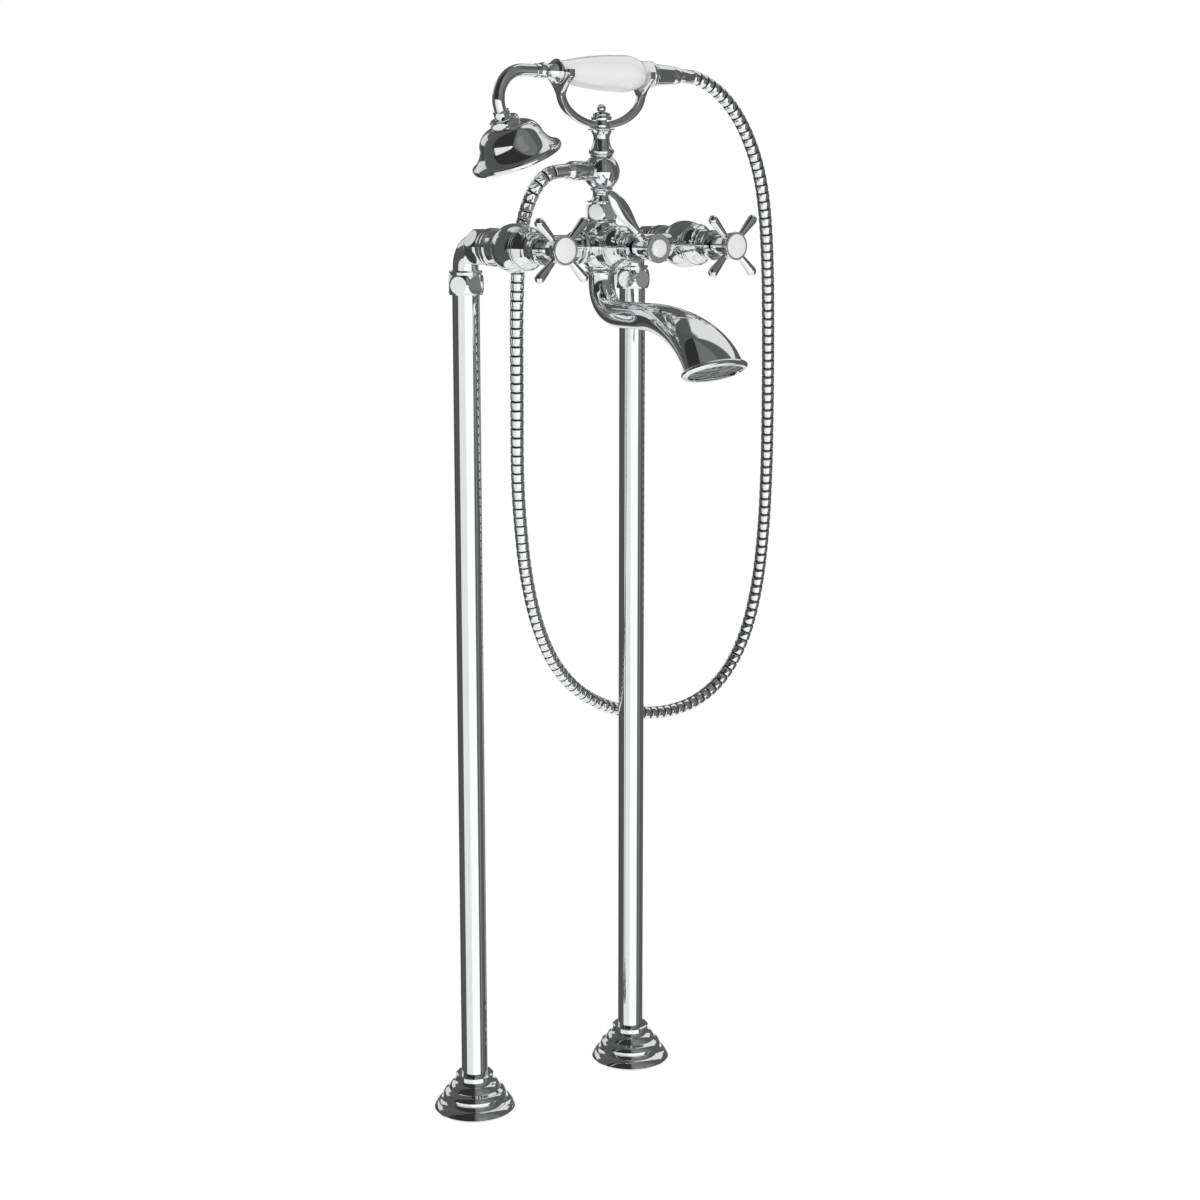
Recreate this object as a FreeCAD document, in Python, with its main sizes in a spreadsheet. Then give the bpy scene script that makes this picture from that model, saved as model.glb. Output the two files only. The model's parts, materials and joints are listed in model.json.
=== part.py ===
import FreeCAD, Part
import Sketcher
import math
import os

# A floor standing bath filler. The origin is on the floor midway between the two supply pipes.
# X runs along the pair of pipes, hot at -X and cold at +X, the spout points to -Y and Z is up.
# Radii carry the ending _r, heights and lengths along a piece's own axis are steps between them.
VALUES = {
    # Fits between pieces.
    "fixed_fit": 0.05,
    "running_fit": 0.08,
    "seat_gap": 0.1,
    "spigot_gap": 0.4,
    # The two supply pipes.
    "pipe_spacing": 203.2,
    "pipe_od": 26.7,
    "pipe_wall": 1.65,
    "pipe_show": 826.3,
    "pipe_seat": 17.0,
    "pipe_entry": 15.7,
    # The base plate that each pipe stands in, with its supply thread underneath.
    "plate_r": 33.0,
    "plate_thick": 5.0,
    "boss_wall": 4.15,
    "boss_height": 24.0,
    "supply_thread_r": 9.3,
    "supply_thread_depth": 14.0,
    "supply_way_r": 7.0,
    "fixing_hole_r": 2.75,
    "fixing_reach": 25.0,
    # The stepped cover flange: each width is measured out from the pipe's skin.
    "flange_skirt": 21.65,
    "flange_foot": 25.15,
    "flange_rim": 27.95,
    "flange_rim_z": 2.6,
    "tier_one_top": 23.65,
    "tier_one_z": 8.2,
    "tier_two_foot": 18.45,
    "tier_two_foot_z": 12.6,
    "tier_two_top": 15.25,
    "tier_two_top_z": 21.0,
    "tier_three_foot": 12.85,
    "tier_three_foot_z": 22.6,
    "tier_three_top": 8.25,
    "tier_three_top_z": 29.2,
    "flange_collar": 5.6,
    "flange_collar_z": 32.6,
    "flange_collar_top": 4.15,
    "flange_shoulder_z": 37.0,
    "flange_height": 38.0,
    "flange_lid": 10.0,
    "flange_hollow": 6.1,
    # Rounded mouldings that repeat on many pieces.
    "bead_rise": 0.6,
    "small_bead_rise": 0.4,
    "cove_depth": 0.9,
    # Union nut at the pipe's top and coupling nut at the valve, one pattern.
    "tail_wall": 1.5,
    "nut_wall": 1.6,
    "nut_crown": 2.0,
    "nut_end_drop": 0.54,
    "nut_height": 18.7,
    "nut_floor": 4.2,
    "olive_height": 3.0,
    "olive_wall": 0.9,
    # Elbow.
    "lip_gap": 1.3,
    "lip_r": 15.7,
    "lip_height": 2.7,
    "elbow_neck": 3.2,
    "elbow_r": 12.5,
    "elbow_bore_r": 10.3,
    "elbow_bend": 20.0,
    "elbow_collar_height": 3.4,
    # Valve body, along its own axis, measured from its widest place.
    "valve_reach": 80.0,
    "valve_ring_r": 17.6,
    "valve_ring_back": 38.0,
    "valve_ring_width": 4.5,
    "valve_ring_gap": 1.0,
    "valve_groove_depth": 0.9,
    "valve_neck_r": 16.5,
    "valve_neck_back": 20.0,
    "valve_waist_r": 15.8,
    "valve_waist_back": 15.0,
    "bulb_r": 22.8,
    "bulb_front": 1.6,
    "bulb_back_curve": 1.85,
    "bulb_front_curve": 0.8,
    "mouth_r": 19.7,
    "mouth_front": 17.3,
    "mouth_bead": 2.9,
    "cavity_r": 14.5,
    "cavity_back": 10.0,
    "tail_way_r": 9.0,
    # Crossbar between the valves and the centre body.
    "bar_r": 11.3,
    "bar_way_r": 6.5,
    "bar_root": 18.0,
    "bar_neck_r": 15.5,
    "bar_ring_r": 16.2,
    "bar_ring_x": 24.0,
    "bar_ring_width": 5.0,
    "bar_groove_r": 13.0,
    "bar_groove_width": 1.0,
    "bar_bead_r": 14.2,
    "bar_bead_width": 4.0,
    # Centre body round the column axis.
    "centre_r": 23.0,
    "centre_foot_r": 15.3,
    "centre_down": 19.0,
    "centre_down_curve": 2.27,
    "centre_foot_ring": 2.2,
    "centre_top_r": 13.5,
    "centre_up": 21.8,
    "centre_up_curve": 2.4,
    "centre_top_ring": 3.0,
    "riser_tail_r": 11.8,
    "riser_tail": 8.2,
    "riser_way_r": 5.5,
    "centre_mouth": 7.1,
    "centre_cavity_back": 14.0,
    # Spigot that the spout turns on.
    "spigot_r": 9.25,
    "spigot_way_r": 6.4,
    "spigot_length": 14.5,
    "spigot_groove": 1.05,
    "spigot_groove_width": 3.5,
    "spout_play": 2.0,
    "seal_drop": 9.2,
    "seal_thick": 0.9,
    # Ceramic cartridge, bonnet and spindle, along the valve's axis from the body's face.
    "cartridge_way_r": 7.0,
    "disc_chamber_r": 10.0,
    "disc_chamber_back": 2.0,
    "disc_chamber_front": 4.0,
    "cartridge_port_r": 5.5,
    "cartridge_hex_r": 12.55,
    "cartridge_hex": 6.5,
    "cartridge_neck_r": 9.05,
    "cartridge_neck_start": 9.0,
    "cartridge_neck": 19.5,
    "bonnet_foot": 2.8,
    "bonnet_shoulder_r": 19.0,
    "bonnet_waist_r": 14.8,
    "bonnet_waist": 10.5,
    "bonnet_stem_r": 13.1,
    "bonnet_stem": 17.0,
    "bonnet_ring_r": 14.1,
    "bonnet_ring": 21.2,
    "bonnet_height": 27.3,
    "bonnet_recess_r": 11.5,
    "bonnet_recess": 21.3,
    "spindle_r": 4.0,
    "spindle_back": 6.0,
    "spindle_front": 50.0,
    # Cross handle, from the same face.
    "hub_back": 22.3,
    "hub_neck_r": 8.25,
    "hub_neck": 30.0,
    "hub_r": 12.4,
    "hub_belly": 50.0,
    "hub_ring_r": 13.1,
    "hub_ring": 55.8,
    "hub_front": 58.8,
    "disc_r": 11.3,
    "disc_seat": 56.3,
    "disc_edge": 2.6,
    "disc_dome": 1.0,
    "disc_flat_r": 1.5,
    "screw_seat": 52.3,
    "screw_r": 1.95,
    "screw_head_r": 3.8,
    "screw_head": 3.0,
    "screw_length": 12.0,
    "screw_socket_r": 1.5,
    "screw_socket": 1.8,
    "arm_place": 52.6,
    "arm_root": 8.0,
    "arm_root_r": 2.8,
    "arm_neck_r": 2.9,
    "arm_neck": 14.0,
    "arm_tip_r": 4.7,
    "arm_tip": 34.5,
    "arm_turn": 45.0,
    # Diverter hub, lever and cap.
    "lever_hub_neck_r": 8.8,
    "lever_hub_r": 12.2,
    "lever_hub_ring_r": 13.3,
    "lever_hub_front": 59.2,
    "cap_r": 8.2,
    "cap_edge": 1.2,
    "cap_dome": 1.6,
    "lever_place": 44.0,
    "lever_angle": 42.0,
    "lever_root": 6.6,
    "lever_stem_r": 3.5,
    "lever_ring": 17.0,
    "lever_ring_r": 4.8,
    "lever_ring_width": 3.0,
    "blade_root_width": 7.4,
    "blade_root_thick": 6.0,
    "blade_width": 16.0,
    "blade_wide": 47.0,
    "blade_length": 70.0,
    "blade_thick": 7.6,
    # Riser nut and the ball that the hose leaves.
    "riser_nut_gap": 0.6,
    "riser_nut_wall": 2.05,
    "riser_nut_crown": 1.75,
    "riser_nut_end": 0.12,
    "riser_nut_height": 13.9,
    "riser_nut_lid": 2.8,
    "riser_neck_r": 9.3,
    "riser_collar_gap": 1.5,
    "riser_collar_r": 13.3,
    "riser_collar": 2.0,
    "ball_neck_r": 8.3,
    "ball_neck_step": 6.0,
    "ball_neck": 9.5,
    "ball_ring_r": 10.3,
    "ball_ring": 2.2,
    "ball_r": 17.4,
    "ball_cut": 14.5,
    "ball_arc": 28.2,
    "outlet_rise": 1.2,
    "outlet_r": 8.7,
    "outlet_root": 8.0,
    "outlet_length": 20.0,
    "outlet_stub_r": 7.6,
    "outlet_stub": 7.0,
    "outlet_way_r": 4.5,
    # Cradle post, cradle and finial.
    "stud_r": 4.0,
    "stud_depth": 8.2,
    "post_lip_r": 11.5,
    "post_lip": 4.6,
    "post_shoulder_r": 10.5,
    "post_waist_r": 7.6,
    "post_waist": 14.0,
    "post_cove": 1.35,
    "cup_r": 12.5,
    "cup_edge": 1.2,
    "post_height": 23.6,
    "finial_stud": 12.0,
    "strap_thick": 6.0,
    "strap_width": 7.0,
    "strap_eye_r": 8.0,
    "strap_drop": 33.0,
    "fork_inset": 0.3,
    "fork_rise": 18.0,
    "fork_r": 18.0,
    "fork_drop": 3.0,
    "fork_cove": 1.5,
    "fork_horn": 5.0,
    "fork_tip": 1.5,
    "fork_clearance": 0.25,
    "finial_gap": 0.35,
    "finial_foot_r": 5.0,
    "finial_foot": 1.3,
    "finial_collar_r": 9.4,
    "finial_collar": 3.5,
    "finial_cap_r": 7.9,
    "finial_cap": 3.0,
    "finial_neck_r": 3.0,
    "finial_slope": 1.2,
    "knob_r": 4.25,
    # Handset, along X through the cradle.
    "seat_left_r": 10.2,
    "seat_right_r": 12.6,
    "grip_left": 51.0,
    "grip_right": 56.0,
    "grip_seat_left": 6.6,
    "grip_seat_right": 11.6,
    "grip_r": 16.8,
    "grip_belly": 69.0,
    "grip_left_curve": 1.6,
    "grip_right_curve": 2.0,
    "grip_way_r": 6.95,
    "core_way_r": 4.4,
    "core_left": 58.0,
    "core_right": 66.0,
    "ferrule_flange_r": 11.1,
    "ferrule_flange": 3.0,
    "ferrule_foot_r": 9.2,
    "ferrule_foot": 5.0,
    "ferrule_neck_r": 6.3,
    "ferrule_neck": 13.0,
    "ferrule_bulge": 1.3,
    "ferrule_bulge_width": 8.5,
    "ferrule_length": 26.0,
    "rear_ring_r": 12.1,
    "rear_ring": 4.0,
    "union_root_r": 11.2,
    "union_root": 2.0,
    "union_cone_r": 10.4,
    "union_cone": 3.5,
    "union_tip_r": 8.95,
    "union_length": 23.5,
    "union_stub_r": 6.5,
    "union_stub": 4.5,
    "hose_nut_r": 8.2,
    "hose_nut": 7.5,
    "hose_nut_tip_r": 7.0,
    "hose_nut_tip": 2.0,
    "hose_nut_edge": 1.0,
    "outlet_nut_r": 8.9,
    "outlet_nut": 21.9,
    "outlet_nut_taper": 5.5,
    "hose_nut_length": 11.5,
    # Gooseneck and shower rose.
    "goose_r": 5.7,
    "goose_way_r": 4.2,
    "goose_run": 14.7,
    "goose_bend": 26.3,
    "goose_turn": 113.2,
    "goose_drop": 45.0,
    "rose_below": 3.0,
    "rose_r": 42.2,
    "rose_wall": 1.6,
    "rose_edge": 5.0,
    "rose_waist_r": 30.2,
    "rose_waist": 20.0,
    "rose_cove": 2.4,
    "rose_crown_r": 16.0,
    "rose_crown": 34.0,
    "rose_dome": 3.1,
    "face_r": 40.9,
    "face_thick": 2.5,
    "face_inset": 0.5,
    "spray_hole_r": 0.75,
    "spray_pitch": 9.0,
    "rose_tail_r": 7.2,
    "rose_tail": 3.0,
    "rose_nut_flats": 27.0,
    "rose_nut_crown": 1.6,
    "rose_nut_height": 5.5,
    "rose_collar_r": 12.1,
    "rose_collar": 1.5,
    "rose_spigot_r": 5.5,
    "rose_spigot": 2.8,
    "goose_nut_flats": 14.8,
    "goose_nut_crown": 0.6,
    "goose_nut_height": 6.6,
    "rose_way_r": 3.6,
    # Spout.
    "spout_r": 12.6,
    "spout_wall": 2.0,
    "spout_ring_r": 15.1,
    "spout_ring": 3.5,
    "spout_straight": 14.0,
    "spout_bend": 26.0,
    "spout_level": 42.0,
    "spout_fall_reach": 101.0,
    "spout_fall_depth": 58.0,
    "spout_fall_turn": 76.0,
    "spout_mouth_r": 32.0,
    "spout_mouth_depth": 18.0,
    "spout_lip_r": 36.0,
    "spout_lip_depth": 22.0,
    "spout_lip": 5.5,
    "straightener_thick": 5.0,
    "straightener_inset": 7.0,
    "straightener_gap": 0.35,
    "straightener_hole_r": 2.6,
    "straightener_margin": 3.9,
    "straightener_pitch": 7.4,
    "grub_r": 1.25,
    "grub_socket_r": 0.65,
    # Hose.
    "hose_r": 6.2,
    "hose_groove": 0.7,
    "hose_way_r": 4.4,
    "hose_pitch": 8.0,
}

QUARTER_SAG = 1 - math.cos(math.radians(45))
EIGHTH_SAG = 1 - math.cos(math.radians(22.5))
HEX_CORNER = 2 / math.sqrt(3)
# Share of the shorter run that a corner of the hose's route gives to its arc.
ARC_SHARE = 0.45
# Shares of one rib's length where its groove and its crest start and end.
GROOVE_SHARES = (0.06, 0.18)
CREST_SHARES = (0.3, 0.94)
# Places of the spout's round sections along its level run, and steps of its fall.
LEVEL_SHARES = (0.0, 0.33, 0.67)
FALL_STEPS = 8
# An oval whose two halves differ by less than this is a circle.
ROUND_ENOUGH = 0.01
HANDLE_ARMS = 4
# Steps of the lever blade's swell, and turns round its tip that it has sections at.
LEAF_STEPS = 5
LEAF_TIP_TURNS = (25, 45, 62, 75, 83)
SPRAY_RINGS = 4
FIRST_RING_HOLES = 8
STRAIGHTENER_STEP = 0.05

# The hose's route from the ball's outlet to the handset, hanging behind the cold pipe.
HOSE_ROUTE = [
    (-42, -80, 942.4), (-54, -80, 942.4), (-65.5, -79.3, 937.9), (-73.6, -76.8, 928.9),
    (-77.4, -71.8, 917.3), (-78, -62.5, 899.5), (-75.3, -52.5, 877), (-71.8, -43, 847),
    (-67, -34, 795),
    (-61, -26, 722), (-56, -18, 652), (-48, -12, 594), (-35, -4, 538),
    (-14, 5, 484), (17, 14, 436), (62, 20.2, 398), (123, 21.8, 373),
    (187, 20.4, 368), (235, 16, 388), (264, 7.5, 433), (275, -2, 492),
    (275, -12, 560), (269, -22, 632), (260, -32, 709), (250, -42, 784),
    (239, -52, 848), (226, -61, 903), (210, -69, 943), (189, -75, 977),
    (166, -79, 1003), (144, -80, 1020), (124, -80, 1029.3), (109, -80, 1032.7),
    (95.15, -80, 1032.7),
]


class Dim:
    """A size: the value that it has now and the formula that ties it to the sheet."""

    def __init__(self, value, formula):
        self.value = float(value)
        self.formula = formula

    def __add__(self, other):
        other = as_dim(other)
        return Dim(self.value + other.value, "(%s + %s)" % (self.formula, other.formula))

    def __radd__(self, other):
        return as_dim(other) + self

    def __sub__(self, other):
        other = as_dim(other)
        return Dim(self.value - other.value, "(%s - %s)" % (self.formula, other.formula))

    def __rsub__(self, other):
        return as_dim(other) - self

    def __mul__(self, other):
        other = as_dim(other)
        return Dim(self.value * other.value, "(%s * %s)" % (self.formula, other.formula))

    def __rmul__(self, other):
        return as_dim(other) * self

    def __truediv__(self, other):
        other = as_dim(other)
        return Dim(self.value / other.value, "(%s / %s)" % (self.formula, other.formula))

    def __neg__(self):
        return as_dim(0) - self

    def root(self):
        return Dim(math.sqrt(self.value), "sqrt(%s)" % self.formula)

    def sine(self):
        return Dim(math.sin(math.radians(self.value)), "sin(%s)" % self.formula)

    def cosine(self):
        return Dim(math.cos(math.radians(self.value)), "cos(%s)" % self.formula)


def as_dim(value):
    """Give a plain number the form of a size."""
    if isinstance(value, Dim):
        return value
    return Dim(value, repr(float(value)))


class Sizes:
    """The driving dimensions by name, kept in the sheet."""

    def __init__(self, sheet, values):
        for row, (name, value) in enumerate(values.items(), start=1):
            sheet.set("A%d" % row, name)
            sheet.set("B%d" % row, repr(value))
            sheet.setAlias("B%d" % row, name)
            setattr(self, name, Dim(value, "Sizes." + name))


doc = FreeCAD.newDocument("BathFiller")
sheet = doc.addObject("Spreadsheet::Sheet", "Sizes")
size = Sizes(sheet, VALUES)
doc.recompute()
nodes = []

UP = FreeCAD.Rotation()
FRONT = FreeCAD.Rotation(FreeCAD.Vector(1, 0, 0), 90)
BACK = FreeCAD.Rotation(FreeCAD.Vector(1, 0, 0), -90)
RIGHT = FreeCAD.Rotation(FreeCAD.Vector(0, 1, 0), 90)
LEFT = FreeCAD.Rotation(FreeCAD.Vector(0, 1, 0), -90)


# ---------------------------------------------------------------- building blocks

def put(item, place, direction=UP):
    """Place an object by three sizes, with its own Z along a direction."""
    place = [as_dim(part) for part in place]
    item.Placement = FreeCAD.Placement(FreeCAD.Vector(*[part.value for part in place]), direction)
    for axis, part in zip("xyz", place):
        item.setExpression("Placement.Base." + axis, part.formula)
    return item


def keep(item, name):
    """Make an object a sub-part of its own, under its name."""
    item.Label = name
    nodes.append(item)
    return item


def origin_plane(body, role):
    """Find one of a body's own origin planes."""
    for plane in body.Origin.OriginFeatures:
        if plane.Role == role:
            return plane
    raise ValueError(role)


def new_sketch(body, name, role):
    """Add a sketch on one of a body's own origin planes."""
    sketch = body.newObject("Sketcher::SketchObject", name)
    sketch.AttachmentSupport = [(origin_plane(body, role), "")]
    sketch.MapMode = "FlatFace"
    return sketch


def fix_point(constraints, formulas, geometry, end, point):
    """Tie one end of a line or an arc to its two sizes."""
    for kind, axis, value in (("DistanceX", -2, point[0]), ("DistanceY", -1, point[1])):
        if value.formula == "0.0":
            constraints.append(Sketcher.Constraint("PointOnObject", geometry, end, axis))
        else:
            formulas[len(constraints)] = value.formula
            constraints.append(Sketcher.Constraint(kind, -1, 1, geometry, end, value.value))


def draw_outline(sketch, outline):
    """Draw a closed outline of points, each with the bulge of the edge that follows it."""
    corners = [(as_dim(item[0]), as_dim(item[1])) for item in outline]
    bulges = [as_dim(item[2]) if len(item) > 2 else None for item in outline]
    constraints = []
    formulas = {}
    ends = []
    for index, (start, bulge) in enumerate(zip(corners, bulges)):
        finish = corners[(index + 1) % len(corners)]
        a = FreeCAD.Vector(start[0].value, start[1].value, 0)
        b = FreeCAD.Vector(finish[0].value, finish[1].value, 0)
        if bulge is None:
            edge = sketch.addGeometry(Part.LineSegment(a, b), False)
            ends.append((edge, 1, 2))
            continue
        chord = b - a
        outward = FreeCAD.Vector(chord.y, -chord.x, 0).normalize()
        middle = (a + b) * 0.5 + outward * bulge.value
        edge = sketch.addGeometry(Part.Arc(a, middle, b), False)
        starts_at_one = (sketch.getPoint(edge, 1) - a).Length < (sketch.getPoint(edge, 2) - a).Length
        ends.append((edge, 1, 2) if starts_at_one else (edge, 2, 1))
        across = finish[0] - start[0]
        along = finish[1] - start[1]
        sag = bulge if bulge.value > 0 else -bulge
        radius = (across * across + along * along) / (sag * 8) + sag / 2
        formulas[len(constraints)] = radius.formula
        constraints.append(Sketcher.Constraint("Radius", edge, radius.value))
    for index, (edge, start_end, finish_end) in enumerate(ends):
        following = ends[(index + 1) % len(ends)]
        constraints.append(
            Sketcher.Constraint("Coincident", edge, finish_end, following[0], following[1]))
        fix_point(constraints, formulas, edge, start_end, corners[index])
    numbers = sketch.addConstraint(constraints)
    for number, formula in formulas.items():
        sketch.setExpression("Constraints[%d]" % numbers[number], formula)


def turned(name, outline, place, direction=UP):
    """Turn an outline of radius and height round the body's own Z axis."""
    body = doc.addObject("PartDesign::Body", name)
    sketch = new_sketch(body, name + "_outline", "XZ_Plane")
    draw_outline(sketch, outline)
    turn = body.newObject("PartDesign::Revolution", name + "_turn")
    turn.Profile = sketch
    turn.ReferenceAxis = (sketch, ["V_Axis"])
    turn.Angle = 360
    sketch.Visibility = False
    put(body, place, direction)
    return body


def padded(name, role, outline, thickness, place, direction=UP):
    """Pad an outline drawn on one of the body's planes."""
    body = doc.addObject("PartDesign::Body", name)
    sketch = new_sketch(body, name + "_outline", role)
    draw_outline(sketch, outline)
    pad = body.newObject("PartDesign::Pad", name + "_pad")
    pad.Profile = sketch
    pad.setExpression("Length", thickness.formula)
    put(body, place, direction)
    return body


def bore_ring(body, name, spots, radius, count):
    """Bore holes up through a body from its own XY plane, and repeat them round its Z axis."""
    sketch = new_sketch(body, name + "_spots", "XY_Plane")
    constraints = []
    formulas = {}
    for across, along in spots:
        across = as_dim(across)
        along = as_dim(along)
        centre = FreeCAD.Vector(across.value, along.value, 0)
        circle = sketch.addGeometry(
            Part.Circle(centre, FreeCAD.Vector(0, 0, 1), radius.value), False)
        formulas[len(constraints)] = radius.formula
        constraints.append(Sketcher.Constraint("Radius", circle, radius.value))
        fix_point(constraints, formulas, circle, 3, (across, along))
    numbers = sketch.addConstraint(constraints)
    for number, formula in formulas.items():
        sketch.setExpression("Constraints[%d]" % numbers[number], formula)
    pocket = body.newObject("PartDesign::Pocket", name + "_bore")
    pocket.Profile = sketch
    pocket.Type = "ThroughAll"
    pocket.Reversed = True
    if count > 1:
        pattern = body.newObject("PartDesign::PolarPattern", name + "_ring")
        pattern.Originals = [pocket]
        pattern.Axis = (sketch, ["N_Axis"])
        pattern.Angle = 360
        pattern.Occurrences = count
        body.Tip = pattern


def rod(name, radius, length, place, direction=UP):
    """A plain round bar, used for waterways and bored holes."""
    bar = doc.addObject("Part::Cylinder", name)
    bar.setExpression("Radius", as_dim(radius).formula)
    bar.setExpression("Height", as_dim(length).formula)
    return put(bar, place, direction)


def bent_tube(name, radius, bore, bend, turn, place, direction):
    """A bent length of tube: part of a ring about its own Z axis, starting on its X axis."""
    rings = []
    for suffix, thickness in (("_skin", radius), ("_way", bore)):
        ring = doc.addObject("Part::Torus", name + suffix)
        ring.setExpression("Radius1", bend.formula)
        ring.setExpression("Radius2", thickness.formula)
        ring.setExpression("Angle3", as_dim(turn).formula)
        rings.append(put(ring, place, direction))
    return cut(name, rings[0], rings[1])


def fuse(name, pieces):
    """Join solids into one."""
    joined = doc.addObject("Part::MultiFuse", name)
    joined.Shapes = pieces
    return joined


def cut(name, base, tool):
    """Take one solid out of another."""
    remainder = doc.addObject("Part::Cut", name)
    remainder.Base = base
    remainder.Tool = tool
    return remainder


def coin_nut(name, flats_r, crown, end_r, height, lower_r, upper_r, step, place, direction=UP):
    """A six sided nut cut from a barrel, so that each flat is a round coin."""
    outline = [
        (lower_r, 0), (end_r, 0, flats_r + crown - end_r), (end_r, height),
        (upper_r, height), (upper_r, step), (lower_r, step),
    ]
    barrel = turned(name + "_barrel", outline, place, direction)
    flats = doc.addObject("Part::Prism", name + "_flats")
    flats.Polygon = 6
    flats.setExpression("Circumradius", (flats_r * HEX_CORNER).formula)
    flats.setExpression("Height", height.formula)
    put(flats, place, direction)
    nut = doc.addObject("Part::Common", name)
    nut.Base = barrel
    nut.Tool = flats
    return keep(nut, name)


# ---------------------------------------------------------------- levels shared by the pieces

pipe_r = size.pipe_od / 2
pipe_x = size.pipe_spacing / 2
pipe_hole_r = pipe_r + size.fixed_fit
tail_r = pipe_r + size.tail_wall
nut_cavity_r = tail_r + size.fixed_fit
nut_flats_r = nut_cavity_r + size.nut_wall
nut_end_r = nut_flats_r - size.nut_end_drop
nut_top = size.pipe_show + size.nut_height
bend_z = nut_top + size.lip_gap + size.lip_height + size.elbow_neck
valve_z = bend_z + size.elbow_bend
reach = size.valve_reach
tail_start = size.elbow_bend + size.nut_floor + size.seat_gap + size.elbow_collar_height
valve_face = reach + size.mouth_front + size.mouth_bead
centre_face = valve_face + size.centre_mouth
spigot_top = valve_z - size.centre_down - size.centre_foot_ring
spout_top = spigot_top - size.spout_play
body_top = valve_z + size.centre_up + size.centre_top_ring
riser_nut_z = body_top + size.riser_nut_gap
riser_tail_top = body_top + size.riser_tail
riser_lid_z = riser_nut_z + size.riser_nut_height - size.riser_nut_lid
riser_collar_z = riser_nut_z + size.riser_nut_height + size.riser_collar_gap
ball_ring_z = riser_collar_z + size.riser_collar + size.ball_neck
ball_z = ball_ring_z + size.ball_ring + size.ball_cut
ball_top = ball_z + size.ball_cut + size.ball_ring + size.seat_gap
outlet_z = ball_z + size.outlet_rise
post_top = ball_top + size.post_height
strap_z = post_top + size.seat_gap
strap_centre = strap_z + size.strap_drop
handset_z = strap_centre + size.fork_rise
ferrule_end = size.grip_left + size.ferrule_length
goose_centre_x = ferrule_end + size.goose_run
goose_centre_z = handset_z - size.goose_bend
goose_end_x = goose_centre_x + size.goose_bend * size.goose_turn.sine()
goose_end_z = goose_centre_z + size.goose_bend * size.goose_turn.cosine()
rose_slope_x = -size.goose_turn.cosine()
rose_slope_z = size.goose_turn.sine()
rose_tilt = 90 - VALUES["goose_turn"]
TOWARDS_NECK = FreeCAD.Rotation(FreeCAD.Vector(0, 1, 0), rose_tilt)


def rose_point(height):
    """A place on the rose's axis, a height above its lowest plane."""
    along = size.goose_drop + size.rose_below - height
    return (rose_slope_x * along - goose_end_x, -reach, goose_end_z - rose_slope_z * along)


# ---------------------------------------------------------------- supply side, made twice

def floor_flange(side, x):
    """Stepped cover that hides the base plate, a thin shell under its three tiers."""
    lid_z = size.flange_height - size.flange_lid
    outline = [
        (pipe_r + size.flange_skirt, 0),
        (pipe_r + size.flange_foot, 0, size.small_bead_rise),
        (pipe_r + size.flange_rim, size.flange_rim_z, size.bead_rise),
        (pipe_r + size.tier_one_top, size.tier_one_z, -size.cove_depth),
        (pipe_r + size.tier_two_foot, size.tier_two_foot_z, size.cove_depth * 2),
        (pipe_r + size.tier_two_top, size.tier_two_top_z),
        (pipe_r + size.tier_three_foot, size.tier_three_foot_z, size.cove_depth),
        (pipe_r + size.tier_three_top, size.tier_three_top_z, -size.small_bead_rise),
        (pipe_r + size.flange_collar, size.flange_collar_z),
        (pipe_r + size.flange_collar, size.flange_shoulder_z),
        (pipe_r + size.flange_collar_top, size.flange_height),
        (pipe_hole_r, size.flange_height),
        (pipe_hole_r, lid_z),
        (pipe_hole_r + size.tail_wall, lid_z),
        (pipe_r + size.flange_hollow, lid_z - size.nut_floor),
        (pipe_r + size.flange_skirt, size.plate_thick + size.bead_rise),
    ]
    keep(turned(side + "_floor_flange", outline, (x, 0, 0)), side + "_floor_flange")


def base_plate(side, x):
    """Plate screwed to the floor, with the supply's thread below and the pipe's socket above."""
    outline = [
        (size.supply_thread_r, 0), (size.plate_r, 0), (size.plate_r, size.plate_thick),
        (pipe_r + size.boss_wall, size.plate_thick),
        (pipe_r + size.boss_wall, size.boss_height),
        (pipe_hole_r, size.boss_height), (pipe_hole_r, size.pipe_seat),
        (size.supply_way_r, size.pipe_seat), (size.supply_way_r, size.supply_thread_depth),
        (size.supply_thread_r, size.supply_thread_depth),
    ]
    body = turned(side + "_base_plate", outline, (x, 0, 0))
    bore_ring(body, side + "_fixing", [(0, size.fixing_reach)], size.fixing_hole_r, 2)
    keep(body, side + "_base_plate")


def standpipe(side, x):
    """The upright supply pipe."""
    bore_r = pipe_r - size.pipe_wall
    top = size.pipe_show + size.pipe_entry
    outline = [(bore_r, size.pipe_seat), (pipe_r, size.pipe_seat), (pipe_r, top), (bore_r, top)]
    keep(turned(side + "_standpipe", outline, (x, 0, 0)), side + "_standpipe")


def pipe_union(side, x):
    """Union nut on the pipe and the olive that it squeezes."""
    coin_nut(side + "_union_nut", nut_flats_r, size.nut_crown, nut_end_r, size.nut_height,
             pipe_hole_r, nut_cavity_r, size.nut_floor, (x, 0, size.pipe_show))
    outline = [
        (pipe_hole_r, 0), (pipe_r + size.olive_wall, 0),
        (tail_r - size.fixed_fit, size.olive_height / 2),
        (pipe_r + size.olive_wall, size.olive_height), (pipe_hole_r, size.olive_height),
    ]
    olive = turned(side + "_pipe_olive", outline, (x, 0, size.pipe_show + size.nut_floor))
    keep(olive, side + "_pipe_olive")


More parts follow.
